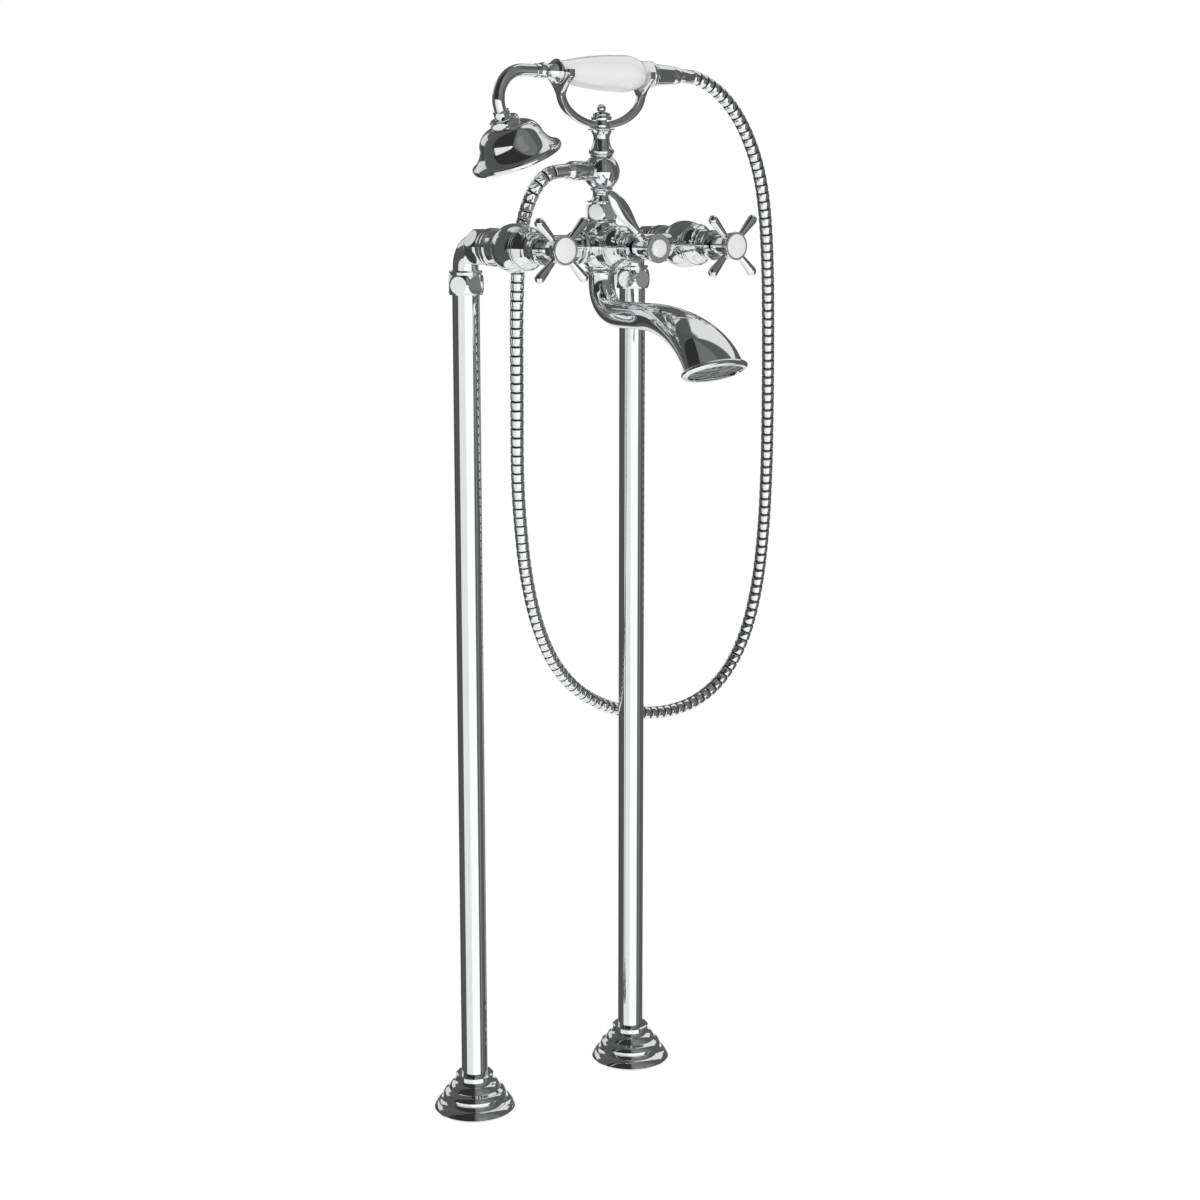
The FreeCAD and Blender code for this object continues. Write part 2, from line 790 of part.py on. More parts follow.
def elbow(side, x):
    """Elbow from the pipe's top to the valve, with the tail of each joint turned on it."""
    tail_z = size.pipe_show + size.nut_floor + size.olive_height
    tail_top = nut_top + size.lip_gap - tail_z
    lip_top = tail_top + size.lip_height
    neck_top = lip_top + size.elbow_neck
    socket = size.pipe_show + size.pipe_entry - tail_z + size.seat_gap
    bore = size.elbow_bore_r
    outline = [
        (pipe_hole_r, 0), (tail_r, 0), (tail_r, tail_top),
        (size.lip_r, tail_top, size.small_bead_rise), (size.lip_r, lip_top),
        (size.elbow_r, lip_top), (size.elbow_r, neck_top), (bore, neck_top),
        (bore, socket), (pipe_hole_r, socket),
    ]
    tail = turned(side + "_elbow_tail", outline, (x, 0, tail_z))
    # The ring's own X axis points to +Y and its Y axis up, so it bends from up to -Y.
    quarter = FreeCAD.Rotation(FreeCAD.Vector(1, 1, 1), 120)
    bend = bent_tube(side + "_elbow_bend", size.elbow_r, bore, size.elbow_bend, 90,
                     (x, -size.elbow_bend, bend_z), quarter)
    collar = size.elbow_bend + size.nut_floor + size.seat_gap
    outline = [
        (bore, size.elbow_bend), (size.elbow_r, size.elbow_bend), (size.elbow_r, collar),
        (tail_r, collar), (tail_r, tail_start), (bore, tail_start),
    ]
    head = turned(side + "_elbow_head", outline, (x, 0, valve_z), FRONT)
    keep(fuse(side + "_elbow", [tail, bend, head]), side + "_elbow")
    coin_nut(side + "_coupling_nut", nut_flats_r, size.nut_crown, nut_end_r, size.nut_height,
             size.elbow_r + size.fixed_fit, nut_cavity_r, size.nut_floor,
             (x, -size.elbow_bend, valve_z), FRONT)


def cartridge(name, x, back, face):
    """Ceramic cartridge: barrel with a disc chamber, side port and threaded neck."""
    barrel_r = size.cavity_r - size.fixed_fit
    bearing_r = size.spindle_r + size.running_fit
    start = back + size.seat_gap
    chamber = face - size.disc_chamber_front
    outline = [
        (size.cartridge_way_r, start), (barrel_r, start), (barrel_r, face),
        (size.cartridge_hex_r, face), (size.cartridge_hex_r, face + size.cartridge_hex),
        (size.cartridge_neck_r, face + size.cartridge_neck_start),
        (size.cartridge_neck_r, face + size.cartridge_neck),
        (bearing_r, face + size.cartridge_neck), (bearing_r, chamber),
        (size.disc_chamber_r, chamber), (size.disc_chamber_r, reach - size.disc_chamber_back),
        (size.cartridge_way_r, reach - size.disc_chamber_back),
    ]
    barrel = turned(name + "_barrel", outline, (x, 0, valve_z), FRONT)
    return barrel


def bonnet(name, x, face):
    """Bonnet that screws over the cartridge, open at the front round the handle's neck."""
    bore_r = size.cartridge_neck_r + size.fixed_fit
    hex_r = size.cartridge_hex_r + size.fixed_fit
    foot_r = size.mouth_r - size.seat_gap
    outline = [
        (hex_r, face), (foot_r, face, size.bead_rise), (foot_r, face + size.bonnet_foot),
        (size.bonnet_shoulder_r, face + size.bonnet_foot, -size.small_bead_rise),
        (size.bonnet_waist_r, face + size.bonnet_waist, -size.bead_rise),
        (size.bonnet_stem_r, face + size.bonnet_stem),
        (size.bonnet_stem_r, face + size.bonnet_ring),
        (size.bonnet_ring_r, face + size.bonnet_ring, size.small_bead_rise),
        (size.bonnet_ring_r, face + size.bonnet_height),
        (size.bonnet_recess_r, face + size.bonnet_height),
        (size.bonnet_recess_r, face + size.bonnet_recess),
        (bore_r, face + size.bonnet_recess),
        (bore_r, face + size.cartridge_neck_start), (hex_r, face + size.cartridge_hex),
    ]
    keep(turned(name, outline, (x, 0, valve_z), FRONT), name)


def spindle(name, x, face):
    """Spindle that the handle turns, tapped for the handle's screw."""
    back = face - size.spindle_back
    front = face + size.spindle_front
    tapped = front - size.screw_length
    outline = [
        (0, back), (size.spindle_r, back), (size.spindle_r, front),
        (size.screw_r, front), (size.screw_r, tapped), (0, tapped),
    ]
    keep(turned(name, outline, (x, 0, valve_z), FRONT), name)


def hub_screw(name, x, face):
    """Socket head screw that holds a handle on its spindle."""
    seat = face + size.screw_seat + size.fixed_fit
    tip = face + size.spindle_front - size.screw_length + size.seat_gap
    shank_r = size.screw_r - size.fixed_fit
    head = seat + size.screw_head
    outline = [
        (0, tip), (shank_r, tip), (shank_r, seat), (size.screw_head_r, seat),
        (size.screw_head_r, head), (size.screw_socket_r, head),
        (size.screw_socket_r, head - size.screw_socket), (0, head - size.screw_socket),
    ]
    keep(turned(name, outline, (x, 0, valve_z), FRONT), name)


def hub_inside(face, front, seat_r, seat):
    """Inside of a handle's hub, from its front back to the spindle's hole."""
    spindle_hole_r = size.spindle_r + size.fixed_fit
    screw_hole_r = size.screw_r + size.fixed_fit
    head_hole_r = size.screw_head_r + size.seat_gap
    web = face + size.spindle_front + size.seat_gap
    return [
        (seat_r, front), (seat_r, seat), (head_hole_r, seat),
        (head_hole_r, face + size.screw_seat), (screw_hole_r, face + size.screw_seat),
        (screw_hole_r, web), (spindle_hole_r, web), (spindle_hole_r, face + size.hub_back),
    ]


def cross_handle(side, x):
    """Hub with four club shaped arms."""
    name = side + "_cross_handle"
    face = valve_face
    outline = [
        (size.hub_neck_r, face + size.hub_back), (size.hub_neck_r, face + size.hub_neck),
        (size.hub_r, face + size.hub_belly), (size.hub_r, face + size.hub_ring),
        (size.hub_ring_r, face + size.hub_ring, size.small_bead_rise),
        (size.hub_ring_r, face + size.hub_front),
    ]
    outline += hub_inside(face, face + size.hub_front, size.disc_r + size.fixed_fit,
                          face + size.disc_seat)
    quarter_turn = FreeCAD.Rotation(FreeCAD.Vector(0, 0, 1), VALUES["arm_turn"])
    body = turned(name, outline, (x, 0, valve_z), FRONT * quarter_turn)
    sketch = new_sketch(body, name + "_arm_outline", "XZ_Plane")
    axis = face + size.arm_place
    draw_outline(sketch, [
        (size.arm_root, axis), (size.arm_tip + size.arm_tip_r, axis, size.arm_tip_r * QUARTER_SAG),
        (size.arm_tip, axis + size.arm_tip_r), (size.arm_neck, axis + size.arm_neck_r),
        (size.arm_root, axis + size.arm_root_r),
    ])
    arm = body.newObject("PartDesign::Revolution", name + "_arm")
    arm.Profile = sketch
    arm.ReferenceAxis = (sketch, ["Edge1"])
    arm.Angle = 360
    pattern = body.newObject("PartDesign::PolarPattern", name + "_arms")
    pattern.Originals = [arm]
    pattern.Axis = (sketch, ["V_Axis"])
    pattern.Angle = 360
    pattern.Occurrences = HANDLE_ARMS
    body.Tip = pattern
    keep(body, name)


def index_disc(side, x):
    """Domed porcelain disc that covers the handle's screw."""
    seat = valve_face + size.disc_seat + size.fixed_fit
    edge = seat + size.disc_edge
    top = edge + size.disc_dome
    outline = [(0, seat), (size.disc_r, seat), (size.disc_r, edge, size.small_bead_rise),
               (size.disc_flat_r, top), (0, top)]
    keep(turned(side + "_index_disc", outline, (x, 0, valve_z), FRONT), side + "_index_disc")


def valve_solid(side, x):
    """One valve's share of the mixer body, without its waterways."""
    ring_one = reach - size.valve_ring_back
    groove = ring_one + size.valve_ring_width
    ring_two = groove + size.valve_ring_gap
    neck = ring_two + size.valve_ring_width
    groove_r = size.valve_ring_r - size.valve_groove_depth
    bead = reach + size.mouth_front
    outline = [
        (0, tail_start), (tail_r, tail_start), (tail_r, ring_one),
        (size.valve_ring_r, ring_one, size.small_bead_rise), (size.valve_ring_r, groove),
        (groove_r, groove), (groove_r, ring_two),
        (size.valve_ring_r, ring_two, size.small_bead_rise), (size.valve_ring_r, neck),
        (size.valve_neck_r, neck), (size.valve_neck_r, reach - size.valve_neck_back),
        (size.valve_waist_r, reach - size.valve_waist_back, size.bulb_back_curve),
        (size.bulb_r, reach + size.bulb_front, size.bulb_front_curve),
        (size.mouth_r, bead, size.bead_rise), (size.mouth_r, valve_face), (0, valve_face),
    ]
    return turned(side + "_valve_body", outline, (x, 0, valve_z), FRONT)


def supply_side(side, x):
    """Everything that stands on one pipe, apart from its share of the mixer body."""
    floor_flange(side, x)
    base_plate(side, x)
    standpipe(side, x)
    pipe_union(side, x)
    elbow(side, x)
    back = reach - size.cavity_back
    barrel = cartridge(side + "_cartridge", x, back, valve_face)
    port = rod(side + "_cartridge_port", size.cartridge_port_r, size.cavity_r * 2,
               (x - size.cavity_r, -reach, valve_z), RIGHT)
    keep(cut(side + "_cartridge", barrel, port), side + "_cartridge")
    bonnet(side + "_bonnet", x, valve_face)
    spindle(side + "_spindle", x, valve_face)
    cross_handle(side, x)
    index_disc(side, x)
    hub_screw(side + "_handle_screw", x, valve_face)


# ---------------------------------------------------------------- mixer body and diverter

def crossbar(side, direction):
    """Half of the crossbar, from inside the centre body to inside the valve's wall."""
    ring_end = size.bar_ring_x + size.bar_ring_width
    bead = ring_end + size.bar_groove_width
    bead_end = bead + size.bar_bead_width
    end = pipe_x - (size.cavity_r + size.bulb_r) / 2
    outline = [
        (0, size.bar_root), (size.bar_neck_r, size.bar_root), (size.bar_neck_r, size.bar_ring_x),
        (size.bar_ring_r, size.bar_ring_x, size.bead_rise), (size.bar_ring_r, ring_end),
        (size.bar_groove_r, ring_end), (size.bar_groove_r, bead),
        (size.bar_bead_r, bead, size.small_bead_rise), (size.bar_bead_r, bead_end),
        (size.bar_r, bead_end), (size.bar_r, end), (0, end),
    ]
    return turned(side + "_crossbar", outline, (0, -reach, valve_z), direction)


def centre_solid():
    """Centre body: the spout's spigot below, the bulb, and the riser's tail on top."""
    spigot_end = spigot_top - size.spigot_length
    groove_low = spout_top - size.spigot_groove_width
    groove_r = size.spigot_r - size.spigot_groove
    seal_low = spigot_top - size.seal_drop - size.seal_thick
    seal_high = spigot_top - size.seal_drop + size.seal_thick
    seal_r = size.spigot_r - size.seal_thick
    foot = valve_z - size.centre_down
    top = valve_z + size.centre_up
    outline = [
        (0, spigot_end), (size.spigot_r, spigot_end), (size.spigot_r, seal_low),
        (seal_r, seal_low), (seal_r, seal_high), (size.spigot_r, seal_high),
        (size.spigot_r, groove_low), (groove_r, groove_low), (groove_r, spout_top),
        (size.spigot_r, spout_top), (size.spigot_r, spigot_top),
        (size.centre_foot_r, spigot_top, size.small_bead_rise),
        (size.centre_foot_r, foot, size.centre_down_curve),
        (size.centre_r, valve_z, size.centre_up_curve),
        (size.centre_top_r, top, size.small_bead_rise),
        (size.centre_top_r, body_top), (size.riser_tail_r, body_top),
        (size.riser_tail_r, riser_tail_top), (0, riser_tail_top),
    ]
    return turned("centre_body", outline, (0, -reach, 0))


def centre_mouth():
    """Boss of the centre body that the diverter's bonnet screws to."""
    bead = centre_face - size.mouth_bead
    outline = [(0, reach), (size.mouth_r, reach), (size.mouth_r, bead, size.bead_rise),
               (size.mouth_r, centre_face), (0, centre_face)]
    return turned("centre_mouth", outline, (0, 0, valve_z), FRONT)


def cavity(name, x, back, face):
    """Hollow that a cartridge drops into."""
    past = face + size.seat_gap
    outline = [(0, back), (size.cavity_r, back), (size.cavity_r, past), (0, past)]
    return turned(name, outline, (x, 0, valve_z), FRONT)


def mixer_body():
    """Both valve bodies, the crossbar and the centre body as one hollow casting."""
    solids = [centre_solid(), centre_mouth(), crossbar("hot", LEFT), crossbar("cold", RIGHT)]
    hollows = [cavity("centre_cavity", 0, reach - size.centre_cavity_back, centre_face)]
    for side, x in (("hot", -pipe_x), ("cold", pipe_x)):
        solids.append(valve_solid(side, x))
        hollows.append(cavity(side + "_cavity", x, reach - size.cavity_back, valve_face))
        hollows.append(rod(side + "_tail_way", size.tail_way_r, reach - tail_start,
                           (x, -tail_start + size.seat_gap, valve_z), FRONT))
    hollows.append(rod("bar_way", size.bar_way_r, pipe_x * 2, (-pipe_x, -reach, valve_z), RIGHT))
    way_low = spigot_top - size.spigot_length - size.seat_gap
    hollows.append(rod("spigot_way", size.spigot_way_r, valve_z - way_low, (0, -reach, way_low)))
    hollows.append(rod("riser_way", size.riser_way_r, riser_tail_top - valve_z + size.seat_gap,
                       (0, -reach, valve_z)))
    body = cut("mixer_body", fuse("mixer_solid", solids), fuse("mixer_hollow", hollows))
    keep(body, "mixer_body")


def diverter():
    """Diverter cartridge with its bonnet, spindle, hub, lever, screw and cap."""
    face = centre_face
    barrel = cartridge("diverter_cartridge", 0, reach - size.centre_cavity_back, face)
    across = rod("diverter_port", size.cartridge_port_r, size.cavity_r * 2,
                 (-size.cavity_r, -reach, valve_z), RIGHT)
    upright = rod("diverter_outlet", size.cartridge_port_r, size.cavity_r * 2,
                  (0, -reach, valve_z - size.cavity_r))
    keep(cut("diverter_cartridge", barrel, fuse("diverter_ports", [across, upright])),
         "diverter_cartridge")
    bonnet("diverter_bonnet", 0, face)
    spindle("diverter_spindle", 0, face)
    hub_screw("diverter_screw", 0, face)
    front = face + size.lever_hub_front
    outline = [
        (size.lever_hub_neck_r, face + size.hub_back),
        (size.lever_hub_neck_r, face + size.hub_neck),
        (size.lever_hub_r, face + size.hub_belly), (size.lever_hub_r, face + size.hub_ring),
        (size.lever_hub_ring_r, face + size.hub_ring, size.small_bead_rise),
        (size.lever_hub_ring_r, front),
    ]
    outline += hub_inside(face, front, size.cap_r + size.fixed_fit, face + size.disc_seat)
    hub = turned("diverter_hub_turned", outline, (0, 0, valve_z), FRONT)
    tilt = FreeCAD.Rotation(FreeCAD.Vector(0, 1, 0), -VALUES["lever_angle"])
    lever_y = -(face + size.lever_place)
    slope_x = -size.lever_angle.sine()
    slope_z = size.lever_angle.cosine()
    hole_start = size.lever_root - size.seat_gap
    hole = rod("lever_hole", size.lever_stem_r + size.fixed_fit, size.lever_hub_r * 2,
               (slope_x * hole_start, lever_y, valve_z + slope_z * hole_start), tilt)
    keep(cut("diverter_hub", hub, hole), "diverter_hub")
    seat = face + size.disc_seat + size.fixed_fit
    edge = front + size.cap_edge
    top = edge + size.cap_dome
    outline = [(0, seat), (size.cap_r, seat), (size.cap_r, edge, size.small_bead_rise),
               (size.disc_flat_r, top), (0, top)]
    keep(turned("diverter_cap", outline, (0, 0, valve_z), FRONT), "diverter_cap")
    diverter_lever(lever_y, tilt)


def diverter_lever(lever_y, tilt):
    """Lever: a round stem with a collar, then a leaf shaped blade."""
    ring_end = size.lever_ring + size.lever_ring_width
    outline = [
        (0, size.lever_root), (size.lever_stem_r, size.lever_root),
        (size.lever_stem_r, size.lever_ring),
        (size.lever_ring_r, size.lever_ring, size.small_bead_rise), (size.lever_ring_r, ring_end),
        (0, ring_end),
    ]
    stem = turned("lever_stem", outline, (0, lever_y, valve_z), tilt)
    blade = doc.addObject("Part::Feature", "lever_blade")
    blade.Shape = leaf(lever_y.value, (ring_end - size.seat_gap).value)
    keep(fuse("diverter_lever", [stem, blade]), "diverter_lever")


def leaf(lever_y, start):
    """Leaf of oval sections that swells from its root, is widest past its middle and ends round."""
    root_width = size.blade_root_width.value / 2
    root_thick = size.blade_root_thick.value / 2
    width = size.blade_width.value / 2
    thick = size.blade_thick.value / 2
    wide = size.blade_wide.value
    stations = []
    for step in range(LEAF_STEPS + 1):
        share = step / LEAF_STEPS
        swell = (1 - math.cos(math.pi * share)) / 2
        stations.append((start + (wide - start) * share, root_width + (width - root_width) * swell,
                         root_thick + (thick - root_thick) * swell))
    for turn in LEAF_TIP_TURNS:
        shrink = math.cos(math.radians(turn))
        reach_out = (size.blade_length.value - wide) * math.sin(math.radians(turn))
        stations.append((wide + reach_out, width * shrink, thick * shrink))
    angle = math.radians(size.lever_angle.value)
    run = FreeCAD.Vector(-math.sin(angle), 0, math.cos(angle))
    across = FreeCAD.Vector(math.cos(angle), 0, math.sin(angle))
    attitude = FreeCAD.Rotation(across, FreeCAD.Vector(0, 1, 0), run, "XYZ")
    sections = []
    for distance, half_width, half_thick in stations:
        ring = Part.Ellipse(FreeCAD.Vector(), half_width, half_thick).toShape()
        centre = FreeCAD.Vector(0, lever_y, valve_z.value) + run * distance
        ring.Placement = FreeCAD.Placement(centre, attitude)
        sections.append(Part.Wire([ring]))
    return Part.makeLoft(sections, True, False)


# ---------------------------------------------------------------- spout

def spout_path(share):
    """A place on the spout's falling run, its slope, and how far it has widened there."""
    turn = math.radians(size.spout_fall_turn.value * share)
    start_y = reach.value + size.spout_bend.value + size.spout_level.value
    level = spout_top.value - size.spout_straight.value - size.spout_bend.value
    fall_reach = size.spout_fall_reach.value
    fall_depth = size.spout_fall_depth.value
    centre = FreeCAD.Vector(0, -start_y - fall_reach * math.sin(turn),
                            level - fall_depth * (1 - math.cos(turn)))
    slope = math.atan2(fall_depth * math.sin(turn), fall_reach * math.cos(turn))
    return centre, slope, math.sin(math.radians(90 * share))


def oval(centre, slope, half_width, half_depth):
    """A closed oval across the spout's run, its half width along X."""
    if half_width - half_depth > ROUND_ENOUGH:
        edge = Part.Ellipse(FreeCAD.Vector(), half_width, half_depth).toShape()
    else:
        edge = Part.Circle(FreeCAD.Vector(), FreeCAD.Vector(0, 0, 1), half_width).toShape()
    heading = FreeCAD.Vector(0, -math.cos(slope), -math.sin(slope))
    upward = FreeCAD.Vector(0, -math.sin(slope), math.cos(slope))
    turn = FreeCAD.Rotation(FreeCAD.Vector(1, 0, 0), upward, heading, "XYZ")
    edge.Placement = FreeCAD.Placement(centre, turn)
    return Part.Wire([edge])


def spout_oval(share, inset, past=0.0):
    """The spout's section at a share of its fall, moved past it along the run."""
    centre, slope, spread = spout_path(share)
    heading = FreeCAD.Vector(0, -math.cos(slope), -math.sin(slope))
    tube = size.spout_r.value
    half_width = tube + (size.spout_mouth_r.value - tube) * spread - inset
    half_depth = tube + (size.spout_mouth_depth.value - tube) * spread - inset
    return oval(centre + heading * past, slope, half_width, half_depth)


def spout_run(name, inset, past):
    """The level and falling run of the spout as one smooth solid."""
    level_start = reach.value + size.spout_bend.value
    level_z = spout_top.value - size.spout_straight.value - size.spout_bend.value
    radius = size.spout_r.value - inset
    sections = []
    for share in LEVEL_SHARES:
        centre = FreeCAD.Vector(0, -level_start - size.spout_level.value * share, level_z)
        sections.append(oval(centre, 0, radius, radius))
    sections += [spout_oval(step / FALL_STEPS, inset) for step in range(FALL_STEPS + 1)]
    sections.append(spout_oval(1, inset, past))
    run = doc.addObject("Part::Feature", name)
    run.Shape = Part.makeLoft(sections, True, False)
    return run


def spout_lip():
    """The thick rolled edge round the spout's mouth."""
    centre, slope = spout_path(1)[:2]
    heading = FreeCAD.Vector(0, -math.cos(slope), -math.sin(slope))
    lip_width = size.spout_lip_r.value
    lip_depth = size.spout_lip_depth.value
    round_off = size.bead_rise.value
    below = size.spout_wall.value
    height = size.spout_lip.value
    thick = lip_width - size.spout_mouth_r.value
    sections = []
    for past, drop in ((below - height, thick), (below - height + thick / 2, round_off),
                       (below - round_off * 2, 0), (below, round_off * 2)):
        sections.append(oval(centre + heading * past, slope, lip_width - drop, lip_depth - drop))
    lip = doc.addObject("Part::Feature", "spout_lip")
    lip.Shape = Part.makeLoft(sections, True, True)
    return lip


def spout():
    """The swivelling spout, hollow from its spigot socket to its wide mouth."""
    bend_top = spout_top - size.spout_straight
    ring_low = spout_top - size.spout_ring
    outline = [
        (0, bend_top), (size.spout_r, bend_top), (size.spout_r, ring_low),
        (size.spout_ring_r, ring_low, size.small_bead_rise), (size.spout_ring_r, spout_top),
        (0, spout_top),
    ]
    neck = turned("spout_neck", outline, (0, -reach, 0))
    # The ring's own X axis points to +Y and its Y axis down, so it bends from down to -Y.
    quarter = FreeCAD.Rotation(FreeCAD.Vector(0, 1, 0), FreeCAD.Vector(0, 0, -1),
                               FreeCAD.Vector(-1, 0, 0), "XYZ")
    bends = []
    for suffix, radius in (("bend", size.spout_r), ("bend_way", size.spout_r - size.spout_wall)):
        ring = doc.addObject("Part::Torus", "spout_" + suffix)
        ring.setExpression("Radius1", size.spout_bend.formula)
        ring.setExpression("Radius2", radius.formula)
        ring.Angle3 = 90
        bends.append(put(ring, (0, -reach - size.spout_bend, bend_top), quarter))
    socket_r = size.spigot_r + size.running_fit
    way_r = size.spout_r - size.spout_wall
    socket_low = spigot_top - size.spigot_length - size.spigot_gap
    past_top = spout_top + size.seat_gap
    outline = [(0, bend_top), (way_r, bend_top), (way_r, socket_low), (socket_r, socket_low),
               (socket_r, past_top), (0, past_top)]
    socket = turned("spout_socket", outline, (0, -reach, 0))
    grub_hole = rod("grub_hole", size.grub_r + size.fixed_fit, size.spout_ring_r * 2,
                    (0, -reach, spout_top - size.spout_ring / 2), BACK)
    below = size.spout_wall.value
    solid = fuse("spout_solid", [neck, bends[0], spout_run("spout_skin", 0, below), spout_lip()])
    hollow = fuse("spout_hollow", [socket, bends[1], grub_hole,
                                   spout_run("spout_way", size.spout_wall.value, below * 2)])
    keep(cut("spout", solid, hollow), "spout")


def spout_fittings():
    """Bearing ring, seal and grub screw of the swivel, and the straightener in the mouth."""
    bearing_r = size.centre_foot_r - size.nut_crown
    low = spout_top + size.seat_gap
    high = spigot_top - size.seat_gap
    ring_r = size.spigot_r + size.fixed_fit
    outline = [(ring_r, low), (bearing_r, low), (bearing_r, high), (ring_r, high)]
    keep(turned("spout_bearing", outline, (0, -reach, 0)), "spout_bearing")
    seal_z = spigot_top - size.seal_drop
    seal_r = size.spigot_r - size.seal_thick + size.fixed_fit
    half = size.seal_thick - size.fixed_fit
    outline = [(seal_r, seal_z - half), (size.spigot_r, seal_z - half),
               (size.spigot_r, seal_z + half), (seal_r, seal_z + half)]
    keep(turned("spout_seal", outline, (0, -reach, 0)), "spout_seal")
    tip = size.spigot_r - size.spigot_groove + size.fork_clearance
    end = size.spout_ring_r - size.seat_gap
    outline = [(size.grub_socket_r, end), (size.grub_socket_r, end - size.screw_socket),
               (0, end - size.screw_socket), (0, tip), (size.grub_r, tip), (size.grub_r, end)]
    grub_z = spout_top - size.spout_ring / 2
    keep(turned("spout_grub_screw", outline, (0, -reach, grub_z), BACK), "spout_grub_screw")
    stream_straightener()


def stream_straightener():
    """Plate of round holes that steadies the water inside the spout's mouth."""
    inset = size.straightener_inset.value
    thick = size.straightener_thick.value
    margin = size.spout_wall.value + size.straightener_gap.value
    mouth, mouth_slope = spout_path(1)[:2]
    back = spout_path(1 - STRAIGHTENER_STEP)[0]
    share = STRAIGHTENER_STEP / (mouth - back).Length
    front_share = 1 - inset * share
    back_share = 1 - (inset + thick) * share
    steps = (back_share, (back_share + front_share) / 2, front_share)
    plate = Part.makeLoft([spout_oval(step, margin) for step in steps], True)
    centre, slope = spout_path(steps[1])[:2]
    heading = FreeCAD.Vector(0, -math.cos(slope), -math.sin(slope))
    upward = FreeCAD.Vector(0, -math.sin(slope), math.cos(slope))
    half_width = size.spout_mouth_r.value - margin
    half_depth = size.spout_mouth_depth.value - margin
    pitch = size.straightener_pitch.value
    hole_r = size.straightener_hole_r.value
    margin = size.straightener_margin.value
    across_count = int(half_width / pitch)
    along_count = int(half_depth / pitch)
    for column in range(-across_count, across_count + 1):
        for row in range(-along_count, along_count + 1):
            across = column * pitch
            along = row * pitch
            room = math.hypot(across / (half_width - margin), along / (half_depth - margin))
            if room > 1:
                continue
            start = centre + FreeCAD.Vector(across, 0, 0) + upward * along - heading * thick
            plate = plate.cut(Part.makeCylinder(hole_r, thick * 2, start, heading))
    piece = doc.addObject("Part::Feature", "stream_straightener")
    piece.Shape = plate
    keep(piece, "stream_straightener")


# ---------------------------------------------------------------- column and cradle

def riser_ball():
    """Riser on the centre body: tail, ball and the boss that the hose leaves."""
    collar_r = size.riser_tail_r - size.fixed_fit
    spigot = riser_lid_z - size.seat_gap
    ring_z = riser_collar_z + size.riser_collar
    ball_foot_r = (size.ball_r * size.ball_r - size.ball_cut * size.ball_cut).root()
    ball_sag = size.ball_r * (1 - math.cos(math.radians(VALUES["ball_arc"])))
    ring_top = ball_z + size.ball_cut
    outline = [
        (0, riser_tail_top), (collar_r, riser_tail_top), (collar_r, spigot),
        (size.riser_neck_r, spigot), (size.riser_neck_r, riser_collar_z),
        (size.riser_collar_r, riser_collar_z, size.small_bead_rise),
        (size.riser_collar_r, ring_z), (size.riser_neck_r + size.bead_rise, ring_z, -size.bead_rise),
        (size.ball_neck_r, ring_z + size.ball_neck_step, -size.small_bead_rise),
        (size.riser_neck_r, ball_ring_z), (size.ball_ring_r, ball_ring_z, size.small_bead_rise),
        (size.ball_ring_r, ball_ring_z + size.ball_ring),
        (ball_foot_r, ball_ring_z + size.ball_ring, ball_sag), (size.ball_r, ball_z, ball_sag),
        (ball_foot_r, ring_top), (size.ball_ring_r, ring_top, size.small_bead_rise),
        (size.ball_ring_r, ring_top + size.ball_ring), (0, ring_top + size.ball_ring),
    ]
    ball = turned("riser_ball_turned", outline, (0, -reach, 0))
    stub = size.outlet_length + size.outlet_stub
    outline = [
        (0, size.outlet_root), (size.outlet_r, size.outlet_root),
        (size.outlet_r, size.outlet_length), (size.outlet_stub_r, size.outlet_length),
        (size.outlet_stub_r, stub), (0, stub),
    ]
    outlet = turned("riser_outlet", outline, (0, -reach, outlet_z), LEFT)
    upright = rod("ball_way", size.riser_way_r, ball_z - riser_tail_top + size.outlet_rise,
                  (0, -reach, riser_tail_top))
    across = rod("outlet_way", size.outlet_way_r, stub + size.seat_gap,
                 (0, -reach, outlet_z), LEFT)
    stud_hole = rod("ball_stud_hole", size.stud_r + size.fixed_fit, size.stud_depth + size.ball_ring,
                    (0, -reach, ball_top - size.stud_depth - size.seat_gap))
    keep(cut("riser_ball", fuse("riser_solid", [ball, outlet]),
             fuse("riser_hollow", [upright, across, stud_hole])), "riser_ball")


def riser_nut():
    """Coin nut that holds the riser on the centre body."""
    cavity_r = size.riser_tail_r + size.fixed_fit
    flats_r = cavity_r + size.riser_nut_wall
    end_r = flats_r + size.riser_nut_end
    coin_nut("riser_nut", flats_r, size.riser_nut_crown, end_r, size.riser_nut_height,
             cavity_r, size.riser_neck_r + size.fixed_fit,
             size.riser_nut_height - size.riser_nut_lid, (0, -reach, riser_nut_z))


def cradle_post():
    """Waisted post between the ball and the cradle, with a stud below and a tapped cup above."""
    lip_top = ball_top + size.post_lip
    waist = ball_top + size.post_waist
    cup = post_top - size.cup_edge
    hole_r = size.stud_r + size.fixed_fit
    hole_z = post_top - size.finial_stud
    outline = [
        (0, ball_top - size.stud_depth), (size.stud_r, ball_top - size.stud_depth),
        (size.stud_r, ball_top), (size.post_lip_r, ball_top, size.bead_rise),
        (size.post_lip_r, lip_top), (size.post_shoulder_r, lip_top, -size.bead_rise),
        (size.post_waist_r, waist, -size.post_cove), (size.cup_r, cup, size.small_bead_rise),
        (size.cup_r, post_top), (hole_r, post_top), (hole_r, hole_z), (0, hole_z),
    ]
    keep(turned("cradle_post", outline, (0, -reach, 0)), "cradle_post")


